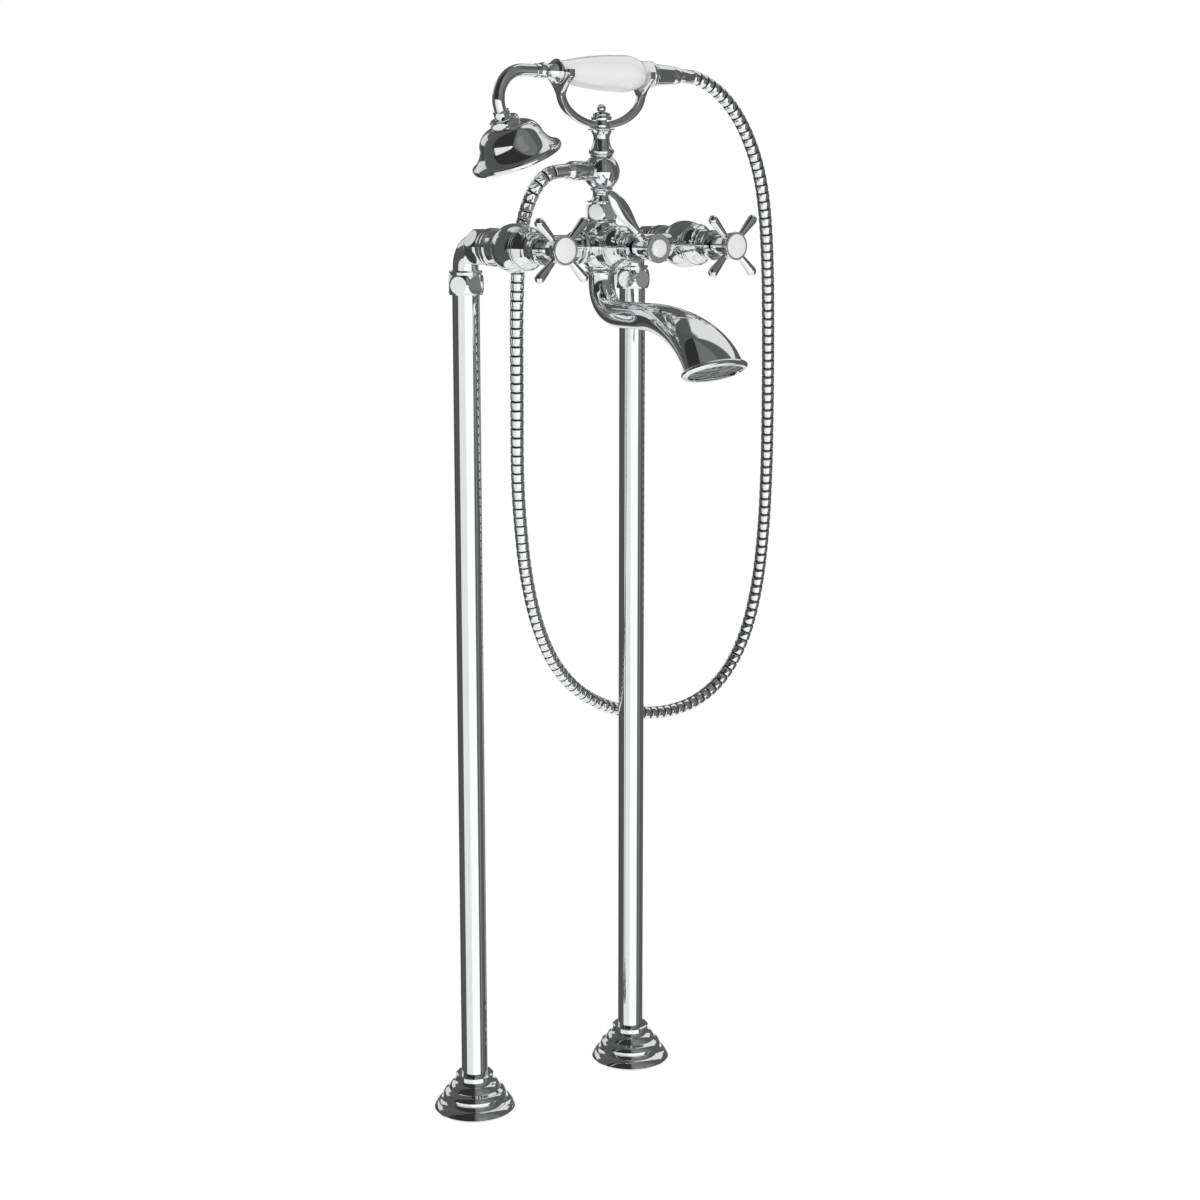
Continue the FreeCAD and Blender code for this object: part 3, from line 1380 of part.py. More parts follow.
def fork(name, x, notch_r):
    """One end plate of the cradle: a stem that flares into two horns beside the grip."""
    middle = size.fork_r
    stem = size.strap_width / 2
    foot = size.fork_rise + size.fork_drop
    horn = foot - size.fork_horn
    tip = foot + size.fork_tip
    quarter = -(notch_r * QUARTER_SAG)
    outline = [
        (middle - stem, 0), (middle + stem, 0, -size.fork_cove), (middle * 2, horn),
        (middle * 2, tip), (middle + notch_r, tip), (middle + notch_r, foot, quarter),
        (middle, foot - notch_r, quarter), (middle - notch_r, foot), (middle - notch_r, tip),
        (0, tip), (0, horn, -size.fork_cove),
    ]
    return padded(name, "YZ_Plane", outline, size.strap_thick,
                  (x, -reach - size.fork_r, strap_centre - size.fork_drop))


def cradle():
    """Bowed strap with a forked plate at each end, which the handset rests in."""
    outer_x = size.grip_left - size.fork_inset
    inner_x = outer_x - size.strap_thick
    ovals = []
    for name, half_width, half_depth in (
            ("strap_outer", outer_x, size.strap_drop),
            ("strap_inner", inner_x, size.strap_drop - size.strap_thick)):
        curve = doc.addObject("Part::Ellipse", name + "_curve")
        curve.setExpression("MajorRadius", half_width.formula)
        curve.setExpression("MinorRadius", half_depth.formula)
        put(curve, (0, -reach + size.strap_width / 2, strap_centre), FRONT)
        block = doc.addObject("Part::Extrusion", name)
        block.Base = curve
        block.DirMode = "Custom"
        block.Dir = FreeCAD.Vector(0, -1, 0)
        block.setExpression("LengthFwd", size.strap_width.formula)
        block.Solid = True
        ovals.append(block)
    band = cut("strap_band", ovals[0], ovals[1])
    lower = doc.addObject("Part::Box", "strap_half")
    lower.setExpression("Length", (outer_x * 2).formula)
    lower.setExpression("Width", size.strap_width.formula)
    lower.setExpression("Height", size.strap_drop.formula)
    put(lower, (-outer_x, -reach - size.strap_width / 2, strap_z))
    bow = doc.addObject("Part::Common", "strap_bow")
    bow.Base = band
    bow.Tool = lower
    left = fork("fork_left", -outer_x, size.seat_left_r + size.fork_clearance)
    right = fork("fork_right", inner_x, size.seat_right_r + size.fork_clearance)
    eye = rod("strap_eye", size.strap_eye_r, size.strap_thick, (0, -reach, strap_z))
    hole = rod("strap_hole", size.stud_r + size.fixed_fit, size.strap_thick * 2,
               (0, -reach, strap_z - size.strap_thick / 2))
    keep(cut("cradle", fuse("cradle_solid", [bow, eye, left, right]), hole), "cradle")


def finial():
    """Finial that bolts the cradle down, ending in a small ball."""
    foot = strap_z + size.strap_thick + size.finial_gap
    collar = foot + size.finial_foot
    cap = collar + size.finial_collar
    cap_top = cap + size.finial_cap
    knob_z = cap_top + size.finial_slope
    knob_rise = size.knob_r * math.sin(math.radians(45))
    outline = [
        (0, post_top - size.finial_stud + size.seat_gap),
        (size.stud_r, post_top - size.finial_stud + size.seat_gap), (size.stud_r, foot),
        (size.finial_foot_r, foot), (size.finial_foot_r, collar),
        (size.finial_collar_r, collar, size.small_bead_rise), (size.finial_collar_r, cap),
        (size.finial_cap_r, cap, size.small_bead_rise), (size.finial_cap_r, cap_top),
        (size.finial_neck_r, knob_z), (knob_rise, knob_z, size.knob_r * EIGHTH_SAG),
        (size.knob_r, knob_z + knob_rise, size.knob_r * QUARTER_SAG),
        (0, knob_z + knob_rise + size.knob_r),
    ]
    keep(turned("finial", outline, (0, -reach, 0)), "finial")


# ---------------------------------------------------------------- handset

def ceramic_grip():
    """Porcelain grip, swelling between its two seats in the cradle."""
    length = size.grip_left + size.grip_right
    outline = [
        (size.grip_way_r, 0), (size.seat_left_r, 0),
        (size.seat_left_r, size.grip_seat_left, size.grip_left_curve),
        (size.grip_r, size.grip_belly, size.grip_right_curve),
        (size.seat_right_r, length - size.grip_seat_right), (size.seat_right_r, length),
        (size.grip_way_r, length),
    ]
    keep(turned("ceramic_grip", outline, (-size.grip_left, -reach, handset_z), RIGHT),
         "ceramic_grip")


def handset_fittings():
    """Inner tube, front ferrule, rear ring, hose union and the hose's nut on it."""
    core_r = size.grip_way_r - size.fixed_fit
    outline = [
        (size.core_way_r, 0), (core_r, 0), (core_r, size.core_left + size.core_right),
        (size.core_way_r, size.core_left + size.core_right),
    ]
    keep(turned("handset_tube", outline, (-size.core_left, -reach, handset_z), RIGHT),
         "handset_tube")
    start = size.grip_left + size.fixed_fit
    flange = start + size.ferrule_flange
    foot = start + size.ferrule_foot
    socket = size.core_left + size.seat_gap
    neck = start + size.ferrule_neck
    neck_end = neck + size.ferrule_bulge_width
    outline = [
        (size.grip_way_r, start), (size.ferrule_flange_r, start, size.small_bead_rise),
        (size.ferrule_flange_r, flange), (size.ferrule_foot_r, foot, -size.small_bead_rise),
        (size.ferrule_neck_r, neck, size.ferrule_bulge), (size.ferrule_neck_r, neck_end),
        (size.ferrule_neck_r, ferrule_end), (size.goose_way_r, ferrule_end),
        (size.goose_way_r, socket), (size.grip_way_r, socket),
    ]
    keep(turned("front_ferrule", outline, (0, -reach, handset_z), LEFT), "front_ferrule")
    start = size.grip_right + size.fixed_fit
    ring_end = start + size.rear_ring
    outline = [
        (size.grip_way_r, start), (size.rear_ring_r, start, size.small_bead_rise),
        (size.rear_ring_r, ring_end), (size.grip_way_r, ring_end),
    ]
    keep(turned("rear_ring", outline, (0, -reach, handset_z), RIGHT), "rear_ring")
    root = ring_end + size.fixed_fit
    cone = root + size.union_cone
    tip = root + size.union_length
    stub = tip + size.union_stub
    socket = size.core_right + size.seat_gap
    outline = [
        (size.grip_way_r, root), (size.union_root_r, root, size.small_bead_rise),
        (size.union_root_r, root + size.union_root), (size.union_cone_r, cone),
        (size.union_tip_r, tip), (size.union_stub_r, tip), (size.union_stub_r, stub),
        (size.core_way_r, stub), (size.core_way_r, socket), (size.grip_way_r, socket),
    ]
    keep(turned("handset_union", outline, (0, -reach, handset_z), RIGHT), "handset_union")
    nut_start = tip + size.fixed_fit
    nut_end = nut_start + size.hose_nut
    nut_tip = nut_start + size.hose_nut_length
    hole_r = size.union_stub_r + size.fixed_fit
    step = stub + size.seat_gap
    outline = [
        (hole_r, nut_start), (size.hose_nut_r, nut_start, size.small_bead_rise),
        (size.hose_nut_r, nut_end), (size.hose_nut_tip_r, nut_end + size.hose_nut_tip),
        (size.hose_nut_tip_r, nut_tip), (size.hose_way_r, nut_tip), (size.hose_way_r, step),
        (hole_r, step),
    ]
    keep(turned("handset_hose_nut", outline, (0, -reach, handset_z), RIGHT), "handset_hose_nut")


def outlet_hose_nut():
    """Nut at the hose's other end, on the ball's outlet."""
    start = size.outlet_length + size.seat_gap
    step = size.outlet_length + size.outlet_stub + size.seat_gap
    end = start + size.outlet_nut
    taper = end - size.outlet_nut_taper
    hole_r = size.outlet_stub_r + size.fixed_fit
    outline = [
        (hole_r, start), (size.outlet_nut_r, start, size.small_bead_rise),
        (size.outlet_nut_r, taper), (size.hose_nut_tip_r, end - size.hose_nut_edge),
        (size.hose_nut_tip_r, end), (size.hose_way_r, end), (size.hose_way_r, step),
        (hole_r, step),
    ]
    keep(turned("outlet_hose_nut", outline, (0, -reach, outlet_z), LEFT), "outlet_hose_nut")


def gooseneck():
    """Bent tube from the ferrule down to the rose."""
    straight = [
        (size.goose_way_r, ferrule_end), (size.goose_r, ferrule_end),
        (size.goose_r, goose_centre_x), (size.goose_way_r, goose_centre_x),
    ]
    first = turned("goose_straight", straight, (0, -reach, handset_z), LEFT)
    # The ring's own X axis points up and its Y axis to -X, so it bends over and down.
    over = FreeCAD.Rotation(FreeCAD.Vector(0, 0, 1), FreeCAD.Vector(-1, 0, 0),
                            FreeCAD.Vector(0, -1, 0), "XYZ")
    bend = bent_tube("goose_bend", size.goose_r, size.goose_way_r, size.goose_bend,
                     size.goose_turn, (-goose_centre_x, -reach, goose_centre_z), over)
    joint_height = size.rose_nut_height + size.rose_collar + size.rose_spigot
    low = size.rose_crown + joint_height + size.spigot_gap
    high = size.goose_drop + size.rose_below
    outline = [(size.goose_way_r, low), (size.goose_r, low), (size.goose_r, high),
               (size.goose_way_r, high)]
    last = turned("goose_end", outline, rose_point(0), TOWARDS_NECK)
    keep(fuse("gooseneck", [first, bend, last]), "gooseneck")


def shower_rose():
    """Rose: bell shaped shell, spray face, and the nuts and collar of its joint."""
    place = rose_point(0)
    wall = size.rose_wall
    inner_r = size.face_r + size.fixed_fit
    outline = [
        (inner_r, size.face_inset), (size.rose_r, size.face_inset, size.bead_rise),
        (size.rose_r, size.rose_edge, -size.rose_cove),
        (size.rose_waist_r, size.rose_waist, size.rose_dome), (size.rose_crown_r, size.rose_crown),
        (size.rose_tail_r, size.rose_crown), (size.rose_tail_r, size.rose_crown - wall),
        (size.rose_crown_r - wall, size.rose_crown - wall, -size.rose_dome),
        (size.rose_waist_r - wall, size.rose_waist, size.rose_cove),
        (inner_r - wall / 2, size.rose_edge), (inner_r, size.rose_edge - wall / 2),
    ]
    keep(turned("rose_shell", outline, place, TOWARDS_NECK), "rose_shell")
    face_top = size.face_inset + size.face_thick
    outline = [(0, size.face_inset), (size.face_r, size.face_inset), (size.face_r, face_top),
               (0, face_top)]
    face = turned("rose_face", outline, place, TOWARDS_NECK)
    for ring in range(1, SPRAY_RINGS + 1):
        bore_ring(face, "spray_ring_%d" % ring, [(0, size.spray_pitch * ring)],
                  size.spray_hole_r, FIRST_RING_HOLES * ring)
    keep(face, "rose_face")
    nut_low = size.rose_crown + size.fixed_fit
    flats_r = size.rose_nut_flats / 2
    hole_r = size.rose_tail_r + size.fixed_fit
    coin_nut("rose_nut", flats_r, size.rose_nut_crown, flats_r, size.rose_nut_height,
             hole_r + size.seat_gap, hole_r, size.rose_nut_height / 2, rose_point(nut_low),
             TOWARDS_NECK)
    tail_low = size.rose_crown - size.rose_tail
    collar_low = nut_low + size.rose_nut_height + size.fixed_fit
    collar_top = collar_low + size.rose_collar
    spigot = collar_top + size.rose_spigot
    tail_r_inside = size.rose_tail_r - size.fixed_fit
    outline = [
        (size.rose_way_r, tail_low), (tail_r_inside, tail_low), (tail_r_inside, collar_low),
        (size.rose_collar_r, collar_low, size.small_bead_rise), (size.rose_collar_r, collar_top),
        (size.rose_spigot_r, collar_top), (size.rose_spigot_r, spigot), (size.rose_way_r, spigot),
    ]
    keep(turned("rose_collar", outline, place, TOWARDS_NECK), "rose_collar")
    flats_r = size.goose_nut_flats / 2
    coin_nut("gooseneck_nut", flats_r, size.goose_nut_crown, flats_r, size.goose_nut_height,
             size.rose_spigot_r + size.fixed_fit, size.goose_r + size.fixed_fit,
             size.rose_spigot, rose_point(collar_top + size.fixed_fit), TOWARDS_NECK)


# ---------------------------------------------------------------- hose

def rounded_path(points):
    """Straight runs between the points, joined by arcs as large as the runs allow."""
    edges = []
    start = points[0]
    for before, corner, after in zip(points, points[1:], points[2:]):
        back = before - corner
        ahead = after - corner
        shorter = min(back.Length, ahead.Length)
        turn = math.pi - back.getAngle(ahead)
        radius = ARC_SHARE * shorter / math.tan(turn / 2)
        back.normalize()
        ahead.normalize()
        bisector = (back + ahead).normalize()
        arc_start = corner + back * (ARC_SHARE * shorter)
        arc_end = corner + ahead * (ARC_SHARE * shorter)
        middle = corner + bisector * (radius / math.cos(turn / 2) - radius)
        edges.append(Part.LineSegment(start, arc_start).toShape())
        edges.append(Part.Arc(arc_start, middle, arc_end).toShape())
        start = arc_end
        print("hose turn %5.1f degrees, radius %6.1f" % (math.degrees(turn), radius))
    edges.append(Part.LineSegment(start, points[-1]).toShape())
    return edges


def along(edges, distance):
    """Place and heading at a distance along the edges."""
    for edge in edges:
        if distance <= edge.Length or edge is edges[-1]:
            at = edge.getParameterByLength(min(distance, edge.Length))
            return edge.valueAt(at), edge.tangentAt(at)
        distance -= edge.Length


def shower_hose():
    """Metal hose: ribs in even steps along the route, round a plain bore."""
    points = [FreeCAD.Vector(*point) for point in HOSE_ROUTE]
    edges = rounded_path(points)
    length = sum(edge.Length for edge in edges)
    ribs = int((length - size.hose_r.value * 4) / size.hose_pitch.value)
    plain = (length - ribs * size.hose_pitch.value) / 2
    crest = size.hose_r.value
    groove = crest - size.hose_groove.value
    profile = [(share, groove) for share in GROOVE_SHARES]
    profile += [(share, crest) for share in CREST_SHARES]
    stations = [(0, crest), (plain, crest)]
    for rib in range(ribs):
        start = plain + rib * size.hose_pitch.value
        for share, radius in profile:
            stations.append((start + share * size.hose_pitch.value, radius))
    stations += [(length, crest)]
    side = FreeCAD.Vector(0, 1, 0)
    rings = []
    bores = []
    for distance, radius in stations:
        centre, heading = along(edges, distance)
        side = (side - heading * side.dot(heading)).normalize()
        turn = FreeCAD.Rotation(side, heading.cross(side), heading, "XYZ")
        ring = Part.Circle(FreeCAD.Vector(), FreeCAD.Vector(0, 0, 1), radius).toShape()
        ring.Placement = FreeCAD.Placement(centre, turn)
        rings.append(Part.Wire([ring]))
    skin = Part.makeLoft(rings, True, True)
    bore = Part.Circle(points[0], points[1] - points[0], size.hose_way_r.value).toShape()
    way = Part.Wire(edges).makePipeShell([Part.Wire([bore])], True, False)
    hose = doc.addObject("Part::Feature", "shower_hose")
    hose.Shape = skin.cut(way)
    print("hose length %.0f, ribs %d, volume %.0f" % (length, ribs, hose.Shape.Volume))
    print("hose bore %.0f against %.0f" % (way.Volume, math.pi * size.hose_way_r.value ** 2 * length))
    keep(hose, "shower_hose")


# ---------------------------------------------------------------- assembly

def check_and_write():
    """Stop on any failed object or solid, then write one file for each piece."""
    doc.recompute()
    for item in doc.Objects:
        if "Invalid" in item.State or "Error" in item.State:
            raise ValueError("failed: %s %s" % (item.Name, item.State))
    for item in nodes:
        if item.Shape.isNull() or not item.Shape.isValid() or len(item.Shape.Solids) != 1:
            raise ValueError("bad shape: %s, solids %d" % (item.Label, len(item.Shape.Solids)))
    os.makedirs("parts", exist_ok=True)
    for item in nodes:
        item.Shape.exportStep("parts/%s.step" % item.Label)
    print("%d nodes written" % len(nodes))


for side, x in (("hot", -pipe_x), ("cold", pipe_x)):
    supply_side(side, x)
mixer_body()
diverter()
spout()
spout_fittings()
riser_nut()
riser_ball()
cradle_post()
cradle()
finial()
ceramic_grip()
handset_fittings()
outlet_hose_nut()
gooseneck()
shower_rose()
shower_hose()
check_and_write()
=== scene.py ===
"""Looks of the floor standing bath filler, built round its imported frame.

Everything is in metres, in the frame's own axes: X runs along the pair of pipes, the spout points
to -Y and Z is up from the floor.
"""

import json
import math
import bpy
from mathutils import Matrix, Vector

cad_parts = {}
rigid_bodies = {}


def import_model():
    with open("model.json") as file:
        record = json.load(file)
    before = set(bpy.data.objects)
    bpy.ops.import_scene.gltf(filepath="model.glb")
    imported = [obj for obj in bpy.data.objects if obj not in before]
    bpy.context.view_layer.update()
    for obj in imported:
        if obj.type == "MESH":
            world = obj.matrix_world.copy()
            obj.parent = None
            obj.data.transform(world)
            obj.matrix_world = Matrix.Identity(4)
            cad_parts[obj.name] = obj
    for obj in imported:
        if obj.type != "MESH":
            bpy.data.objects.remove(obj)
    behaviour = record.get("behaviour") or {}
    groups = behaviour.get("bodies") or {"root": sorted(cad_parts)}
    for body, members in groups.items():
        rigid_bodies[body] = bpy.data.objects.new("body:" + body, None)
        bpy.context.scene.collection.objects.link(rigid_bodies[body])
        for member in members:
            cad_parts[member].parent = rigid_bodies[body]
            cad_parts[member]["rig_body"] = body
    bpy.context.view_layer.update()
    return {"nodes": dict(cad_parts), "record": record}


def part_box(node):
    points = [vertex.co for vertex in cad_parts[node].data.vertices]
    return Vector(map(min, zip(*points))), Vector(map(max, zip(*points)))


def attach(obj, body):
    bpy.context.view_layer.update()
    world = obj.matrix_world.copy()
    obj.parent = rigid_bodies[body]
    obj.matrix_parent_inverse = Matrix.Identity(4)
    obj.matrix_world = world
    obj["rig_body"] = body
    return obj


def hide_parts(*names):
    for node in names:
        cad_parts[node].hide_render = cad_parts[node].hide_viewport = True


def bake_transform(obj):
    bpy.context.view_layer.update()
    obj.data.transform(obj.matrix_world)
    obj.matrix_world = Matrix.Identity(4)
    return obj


bl_info = {
    "name": "Floor standing bath filler",
    "version": (1, 0, 0),
    "blender": (4, 5, 0),
    "location": "3D Viewport > Sidebar > Bath filler",
    "description": "Finishes the bath filler's pieces and sets its studio",
    "category": "Object",
}

import bmesh
import bpy
from mathutils import Vector

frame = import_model()
WHITE = (1.0, 1.0, 1.0, 1.0)

# Porcelain discs, and how far each one's glaze is domed.
PORCELAIN_DISCS = {"hot_index_disc": 0.001, "cold_index_disc": 0.001, "diverter_cap": 0.0016}
DOME_RINGS = 6

# The spray face leans with the rose, and each ring of holes has so many more than the last.
ROSE_TILT = math.radians(-23.2)
SPRAY_RINGS = 4
SPRAY_PITCH = 0.009
FIRST_RING_HOLES = 8

# The spout's run: down from its ring, round a bend, level, then falling to its mouth.
SPOUT_AXIS_Y = -0.08
SPOUT_TOP = 0.849
SPOUT_RING_LOW = 0.8455
SPOUT_BEND_TOP = 0.835
SPOUT_BEND = 0.026
SPOUT_LEVEL = 0.042
SPOUT_FALL_REACH = 0.101
SPOUT_FALL_DEPTH = 0.058
SPOUT_FALL_TURN = math.radians(76)
SPOUT_RING = 0.01495
SPOUT_RING_EDGE = 0.0004
SPOUT_RING_SHARE = 0.98

# Stations down the drop, round the bend, along the level run and down the fall, how often their
# changes of curvature are evened out, and how many of them the open waterway reaches back.
DROP_STATIONS = 9
BEND_STATIONS = 34
LEVEL_STATIONS = 35
FALL_STATIONS = 92
SPOUT_SMOOTHINGS = 60
WATERWAY_STATIONS = 89

# The rolled lip: steps round it, half its height against how far it stands out, how full its
# round is, the stations that it takes the place of, and its inner corner as a share of the wall.
LIP_STEPS = 12
LIP_HEIGHT = 0.68
LIP_FULLNESS = 0.8
LIP_STATIONS = 3
LIP_CORNER = 0.7

# A rib of the hose: share of the pitch, how far it lies below the crest, and how dark its metal is
# painted, as painted shade in the groove and on the rib's sides. A drop of None is the bottom of
# the groove.
HOSE_RIB = [
    (0.0, None, 1.0), (0.1, None, 1.0), (0.16, 0.00025, 0.3), (0.26, 0.0, 0.0),
    (0.6, -0.00005, 0.0), (0.94, 0.0, 0.0), (0.99, 0.0003, 0.4),
]
HOSE_LINE_STEPS = 24

# The plain ends of the hose: their least length together in outer radii, and how far along each
# one the ring next to the ribs lies.
HOSE_PLAIN_ENDS = 4
HOSE_FIRST_END = 0.95
HOSE_LAST_END = 0.98

# Angles in degrees over which an edge stays sharp when a piece is smoothed or softened.
SMOOTH_ANGLE = 40
SOFT_ANGLE = 32

# Sizes of a nozzle's rolled end as shares of its radius, and the slope that marks its end face.
NOZZLE_INSET = 0.3
NOZZLE_ROLL = 0.2
NOZZLE_DIMPLE = 0.6
NOZZLE_END_SLOPE = -0.9

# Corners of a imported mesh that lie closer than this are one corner.
MERGE_DISTANCE = 0.000002

# The hose's route, with the same points as the solid's.
HOSE_ROUTE = [
    (-0.042, -0.08, 0.9424), (-0.054, -0.08, 0.9424), (-0.0655, -0.0793, 0.9379),
    (-0.0736, -0.0768, 0.9289), (-0.0774, -0.0718, 0.9173), (-0.078, -0.0625, 0.8995),
    (-0.0753, -0.0525, 0.877), (-0.0718, -0.043, 0.847), (-0.067, -0.034, 0.795),
    (-0.061, -0.026, 0.722), (-0.056, -0.018, 0.652), (-0.048, -0.012, 0.594),
    (-0.035, -0.004, 0.538), (-0.014, 0.005, 0.484), (0.017, 0.014, 0.436),
    (0.062, 0.0202, 0.398), (0.123, 0.0218, 0.373), (0.187, 0.0204, 0.368),
    (0.235, 0.016, 0.388), (0.264, 0.0075, 0.433), (0.275, -0.002, 0.492),
    (0.275, -0.012, 0.56), (0.269, -0.022, 0.632), (0.26, -0.032, 0.709),
    (0.25, -0.042, 0.784), (0.239, -0.052, 0.848), (0.226, -0.061, 0.903),
    (0.21, -0.069, 0.943), (0.189, -0.075, 0.977), (0.166, -0.079, 1.003),
    (0.144, -0.08, 1.02), (0.124, -0.08, 1.0293), (0.109, -0.08, 1.0327),
    (0.09515, -0.08, 1.0327),
]

# The width of the camera's film in millimetres, how far the frame is shifted as a share of it, and
# how near and how far the camera sees.
FILM_WIDTH = 36.0
CAMERA_SHIFT = -0.04
CAMERA_NEAR = 0.05
CAMERA_FAR = 50.0

# The broad lamp: its sides, its power, where it hangs and what it is aimed at.
LAMP_SIDE = 1.6
LAMP_POWER = 18.0
LAMP_PLACE = (-1.9, -1.6, 2.4)
LAMP_TARGET = (0.0, -0.05, 0.7)

# The floor's disc: its radius, how far it lies below the part, its sides and its colour, then the
# strength of the glow that the camera sees on it and the glow's share of what it sees.
FLOOR_RADIUS = 9.0
FLOOR_DROP = 0.0005
FLOOR_SIDES = 96
FLOOR_COLOUR = (0.9, 0.9, 0.9, 1.0)
FLOOR_GLOW = 1.16
FLOOR_GLOW_SHARE = 0.72

# The even light on dull surfaces, from a low direction to a high one: heights on a ball of radius
# one, and how much of the room's light comes from each.
EVEN_HEIGHTS = (-0.3, 0.7)
EVEN_SHARES = (1.45, 0.75)

# Boards round the studio that show in the chrome, each laid over the ones before it: the middle of
# the board and half its width in degrees, turned from the side that faces the camera towards the
# camera's right, then its lower and upper edge as heights on a ball of radius one, how bright it
# is, and how soft its edges are in degrees.
STUDIO_BOARDS = [
    ("left grey wall", -90.0, 17.0, -1.1, 1.1, 0.1, 4.0),
    ("right grey wall", 40.0, 30.0, -0.1, 1.1, 0.19, 10.0),
    ("soft grey window", 27.0, 9.0, 0.15, 0.72, 0.26, 8.0),
    ("black ceiling flag", -35.0, 35.0, -0.1, 1.1, 0.034, 6.0),
    ("back right board", 141.0, 26.0, 0.42, 0.965, 0.85, 6.0),
    ("back left board", -134.0, 16.0, 0.16, 0.5, 0.78, 8.0),
    ("front board, left", -34.0, 30.0, -1.1, -0.02, 0.92, 3.0),
    ("front board, right", 24.0, 31.0, -1.1, -0.02, 1.2, 3.0),
    ("right strip", 78.0, 4.0, -1.1, -0.02, 0.27, 3.0),
    ("left edge flag", -128.0, 6.0, -0.9, 0.1, 0.06, 5.0),
    ("back board", 180.0, 24.0, -0.9, -0.02, 0.85, 4.0),
    ("pale ground", 0.0, 181.0, -1.1, -0.72, 1.0, 1.0),
]
BOARD_TOP_SOFTNESS = 0.03


# ---------------------------------------------------------------- settings


class HoseSettings(bpy.types.PropertyGroup):
    """Sizes of the metal hose."""

    radius: bpy.props.FloatProperty(
        name="Radius", description="Outer radius of the hose's ribs",
        default=0.0066, unit="LENGTH")
    groove: bpy.props.FloatProperty(
        name="Groove", description="Depth of the groove between two ribs",
        default=0.0012, unit="LENGTH")
    pitch: bpy.props.FloatProperty(
        name="Pitch", description="Length of one rib with its groove",
        default=0.009, unit="LENGTH")
    sides: bpy.props.IntProperty(
        name="Sides", description="Faces round the hose", default=28, min=12)


class SpoutSettings(bpy.types.PropertyGroup):
    """Sizes of the spout."""

    tube: bpy.props.FloatProperty(
        name="Tube", description="Radius of the spout's round part",
        default=0.0126, unit="LENGTH")
    mouth_width: bpy.props.FloatProperty(
        name="Mouth width", description="Half the mouth's width",
        default=0.032, unit="LENGTH")
    mouth_depth: bpy.props.FloatProperty(
        name="Mouth depth", description="Half the mouth's depth",
        default=0.018, unit="LENGTH")
    wall: bpy.props.FloatProperty(
        name="Wall", description="Thickness of the spout's wall",
        default=0.002, unit="LENGTH")
    lip: bpy.props.FloatProperty(
        name="Lip", description="How far the rolled lip stands out",
        default=0.004, unit="LENGTH")
    sides: bpy.props.IntProperty(
        name="Sides", description="Faces round the spout", default=96, min=24)


class PorcelainSettings(bpy.types.PropertyGroup):
    """Shape of the porcelain discs."""

    sides: bpy.props.IntProperty(
        name="Sides", description="Faces round a disc", default=96, min=24)
    rim: bpy.props.FloatProperty(
        name="Rim", description="Radius of the glaze round a disc's edge",
        default=0.0005, unit="LENGTH")


class NozzleSettings(bpy.types.PropertyGroup):
    """Sizes of the soft nozzles in the spray face."""

    radius: bpy.props.FloatProperty(
        name="Radius", description="Outer radius of a nozzle", default=0.0007, unit="LENGTH")
    height: bpy.props.FloatProperty(
        name="Height", description="Length of a nozzle, through the face and out of it",
        default=0.0031, unit="LENGTH")
    sides: bpy.props.IntProperty(
        name="Sides", description="Faces round a nozzle", default=8, min=6)


class CradleSettings(bpy.types.PropertyGroup):
    """How soft the cradle's edges are."""

    edge: bpy.props.FloatProperty(
        name="Edge", description="Radius of the strap's polished edges",
        default=0.0007, unit="LENGTH")


class FinishSettings(bpy.types.PropertyGroup):
    """Colours and sheen of the finishes."""

    chrome_colour: bpy.props.FloatVectorProperty(
        name="Chrome", description="Reflected colour of the chrome plating",
        subtype="COLOR", size=4, default=(0.83, 0.845, 0.85, 1.0))
    chrome_roughness: bpy.props.FloatProperty(
        name="Chrome roughness", description="Mean roughness of the polished chrome",
        subtype="FACTOR", default=0.035)
    porcelain_colour: bpy.props.FloatVectorProperty(
        name="Porcelain", description="Colour of the white glaze",
        subtype="COLOR", size=4, default=(0.86, 0.865, 0.86, 1.0))
    brass_colour: bpy.props.FloatVectorProperty(
        name="Brass", description="Reflected colour of the bare brass inside",
        subtype="COLOR", size=4, default=(0.72, 0.52, 0.24, 1.0))
    plastic_colour: bpy.props.FloatVectorProperty(
        name="Plastic", description="Colour of the grey moulded pieces",
        subtype="COLOR", size=4, default=(0.32, 0.33, 0.34, 1.0))
    rubber_colour: bpy.props.FloatVectorProperty(
        name="Rubber", description="Colour of the black seal",
        subtype="COLOR", size=4, default=(0.02, 0.02, 0.021, 1.0))


class StudioSettings(bpy.types.PropertyGroup):
    """The camera's place and the level of the light."""

    lens: bpy.props.FloatProperty(
        name="Lens", description="Focal length of the camera in millimetres", default=62.5)
    camera_place: bpy.props.FloatVectorProperty(
        name="Camera", description="Where the camera stands", subtype="TRANSLATION",
        unit="LENGTH", size=3, default=(-1.227, -1.659, 0.936))
    camera_yaw: bpy.props.FloatProperty(
        name="Yaw", description="Turn of the camera from looking along +Y towards +X",
        subtype="ANGLE", default=math.radians(37.81))
    camera_pitch: bpy.props.FloatProperty(
        name="Pitch", description="How far the camera looks down",
        subtype="ANGLE", default=math.radians(10.18))
    room_light: bpy.props.FloatProperty(
        name="Room light", description="Strength of the even light on dull surfaces",
        default=0.8)
    dark_wall: bpy.props.FloatProperty(
        name="Dark wall", description="How light the studio's dark walls look in the chrome",
        default=0.115)


SETTINGS = {
    "bath_hose": HoseSettings,
    "bath_spout": SpoutSettings,
    "bath_porcelain": PorcelainSettings,
    "bath_nozzle": NozzleSettings,
    "bath_cradle": CradleSettings,
    "bath_finish": FinishSettings,
    "bath_studio": StudioSettings,
}


# ---------------------------------------------------------------- working by hand


def deselect_all():
    """Clear the selection in object mode."""
    if bpy.context.mode != "OBJECT":
        bpy.ops.object.mode_set(mode="OBJECT")
    bpy.ops.object.select_all(action="DESELECT")


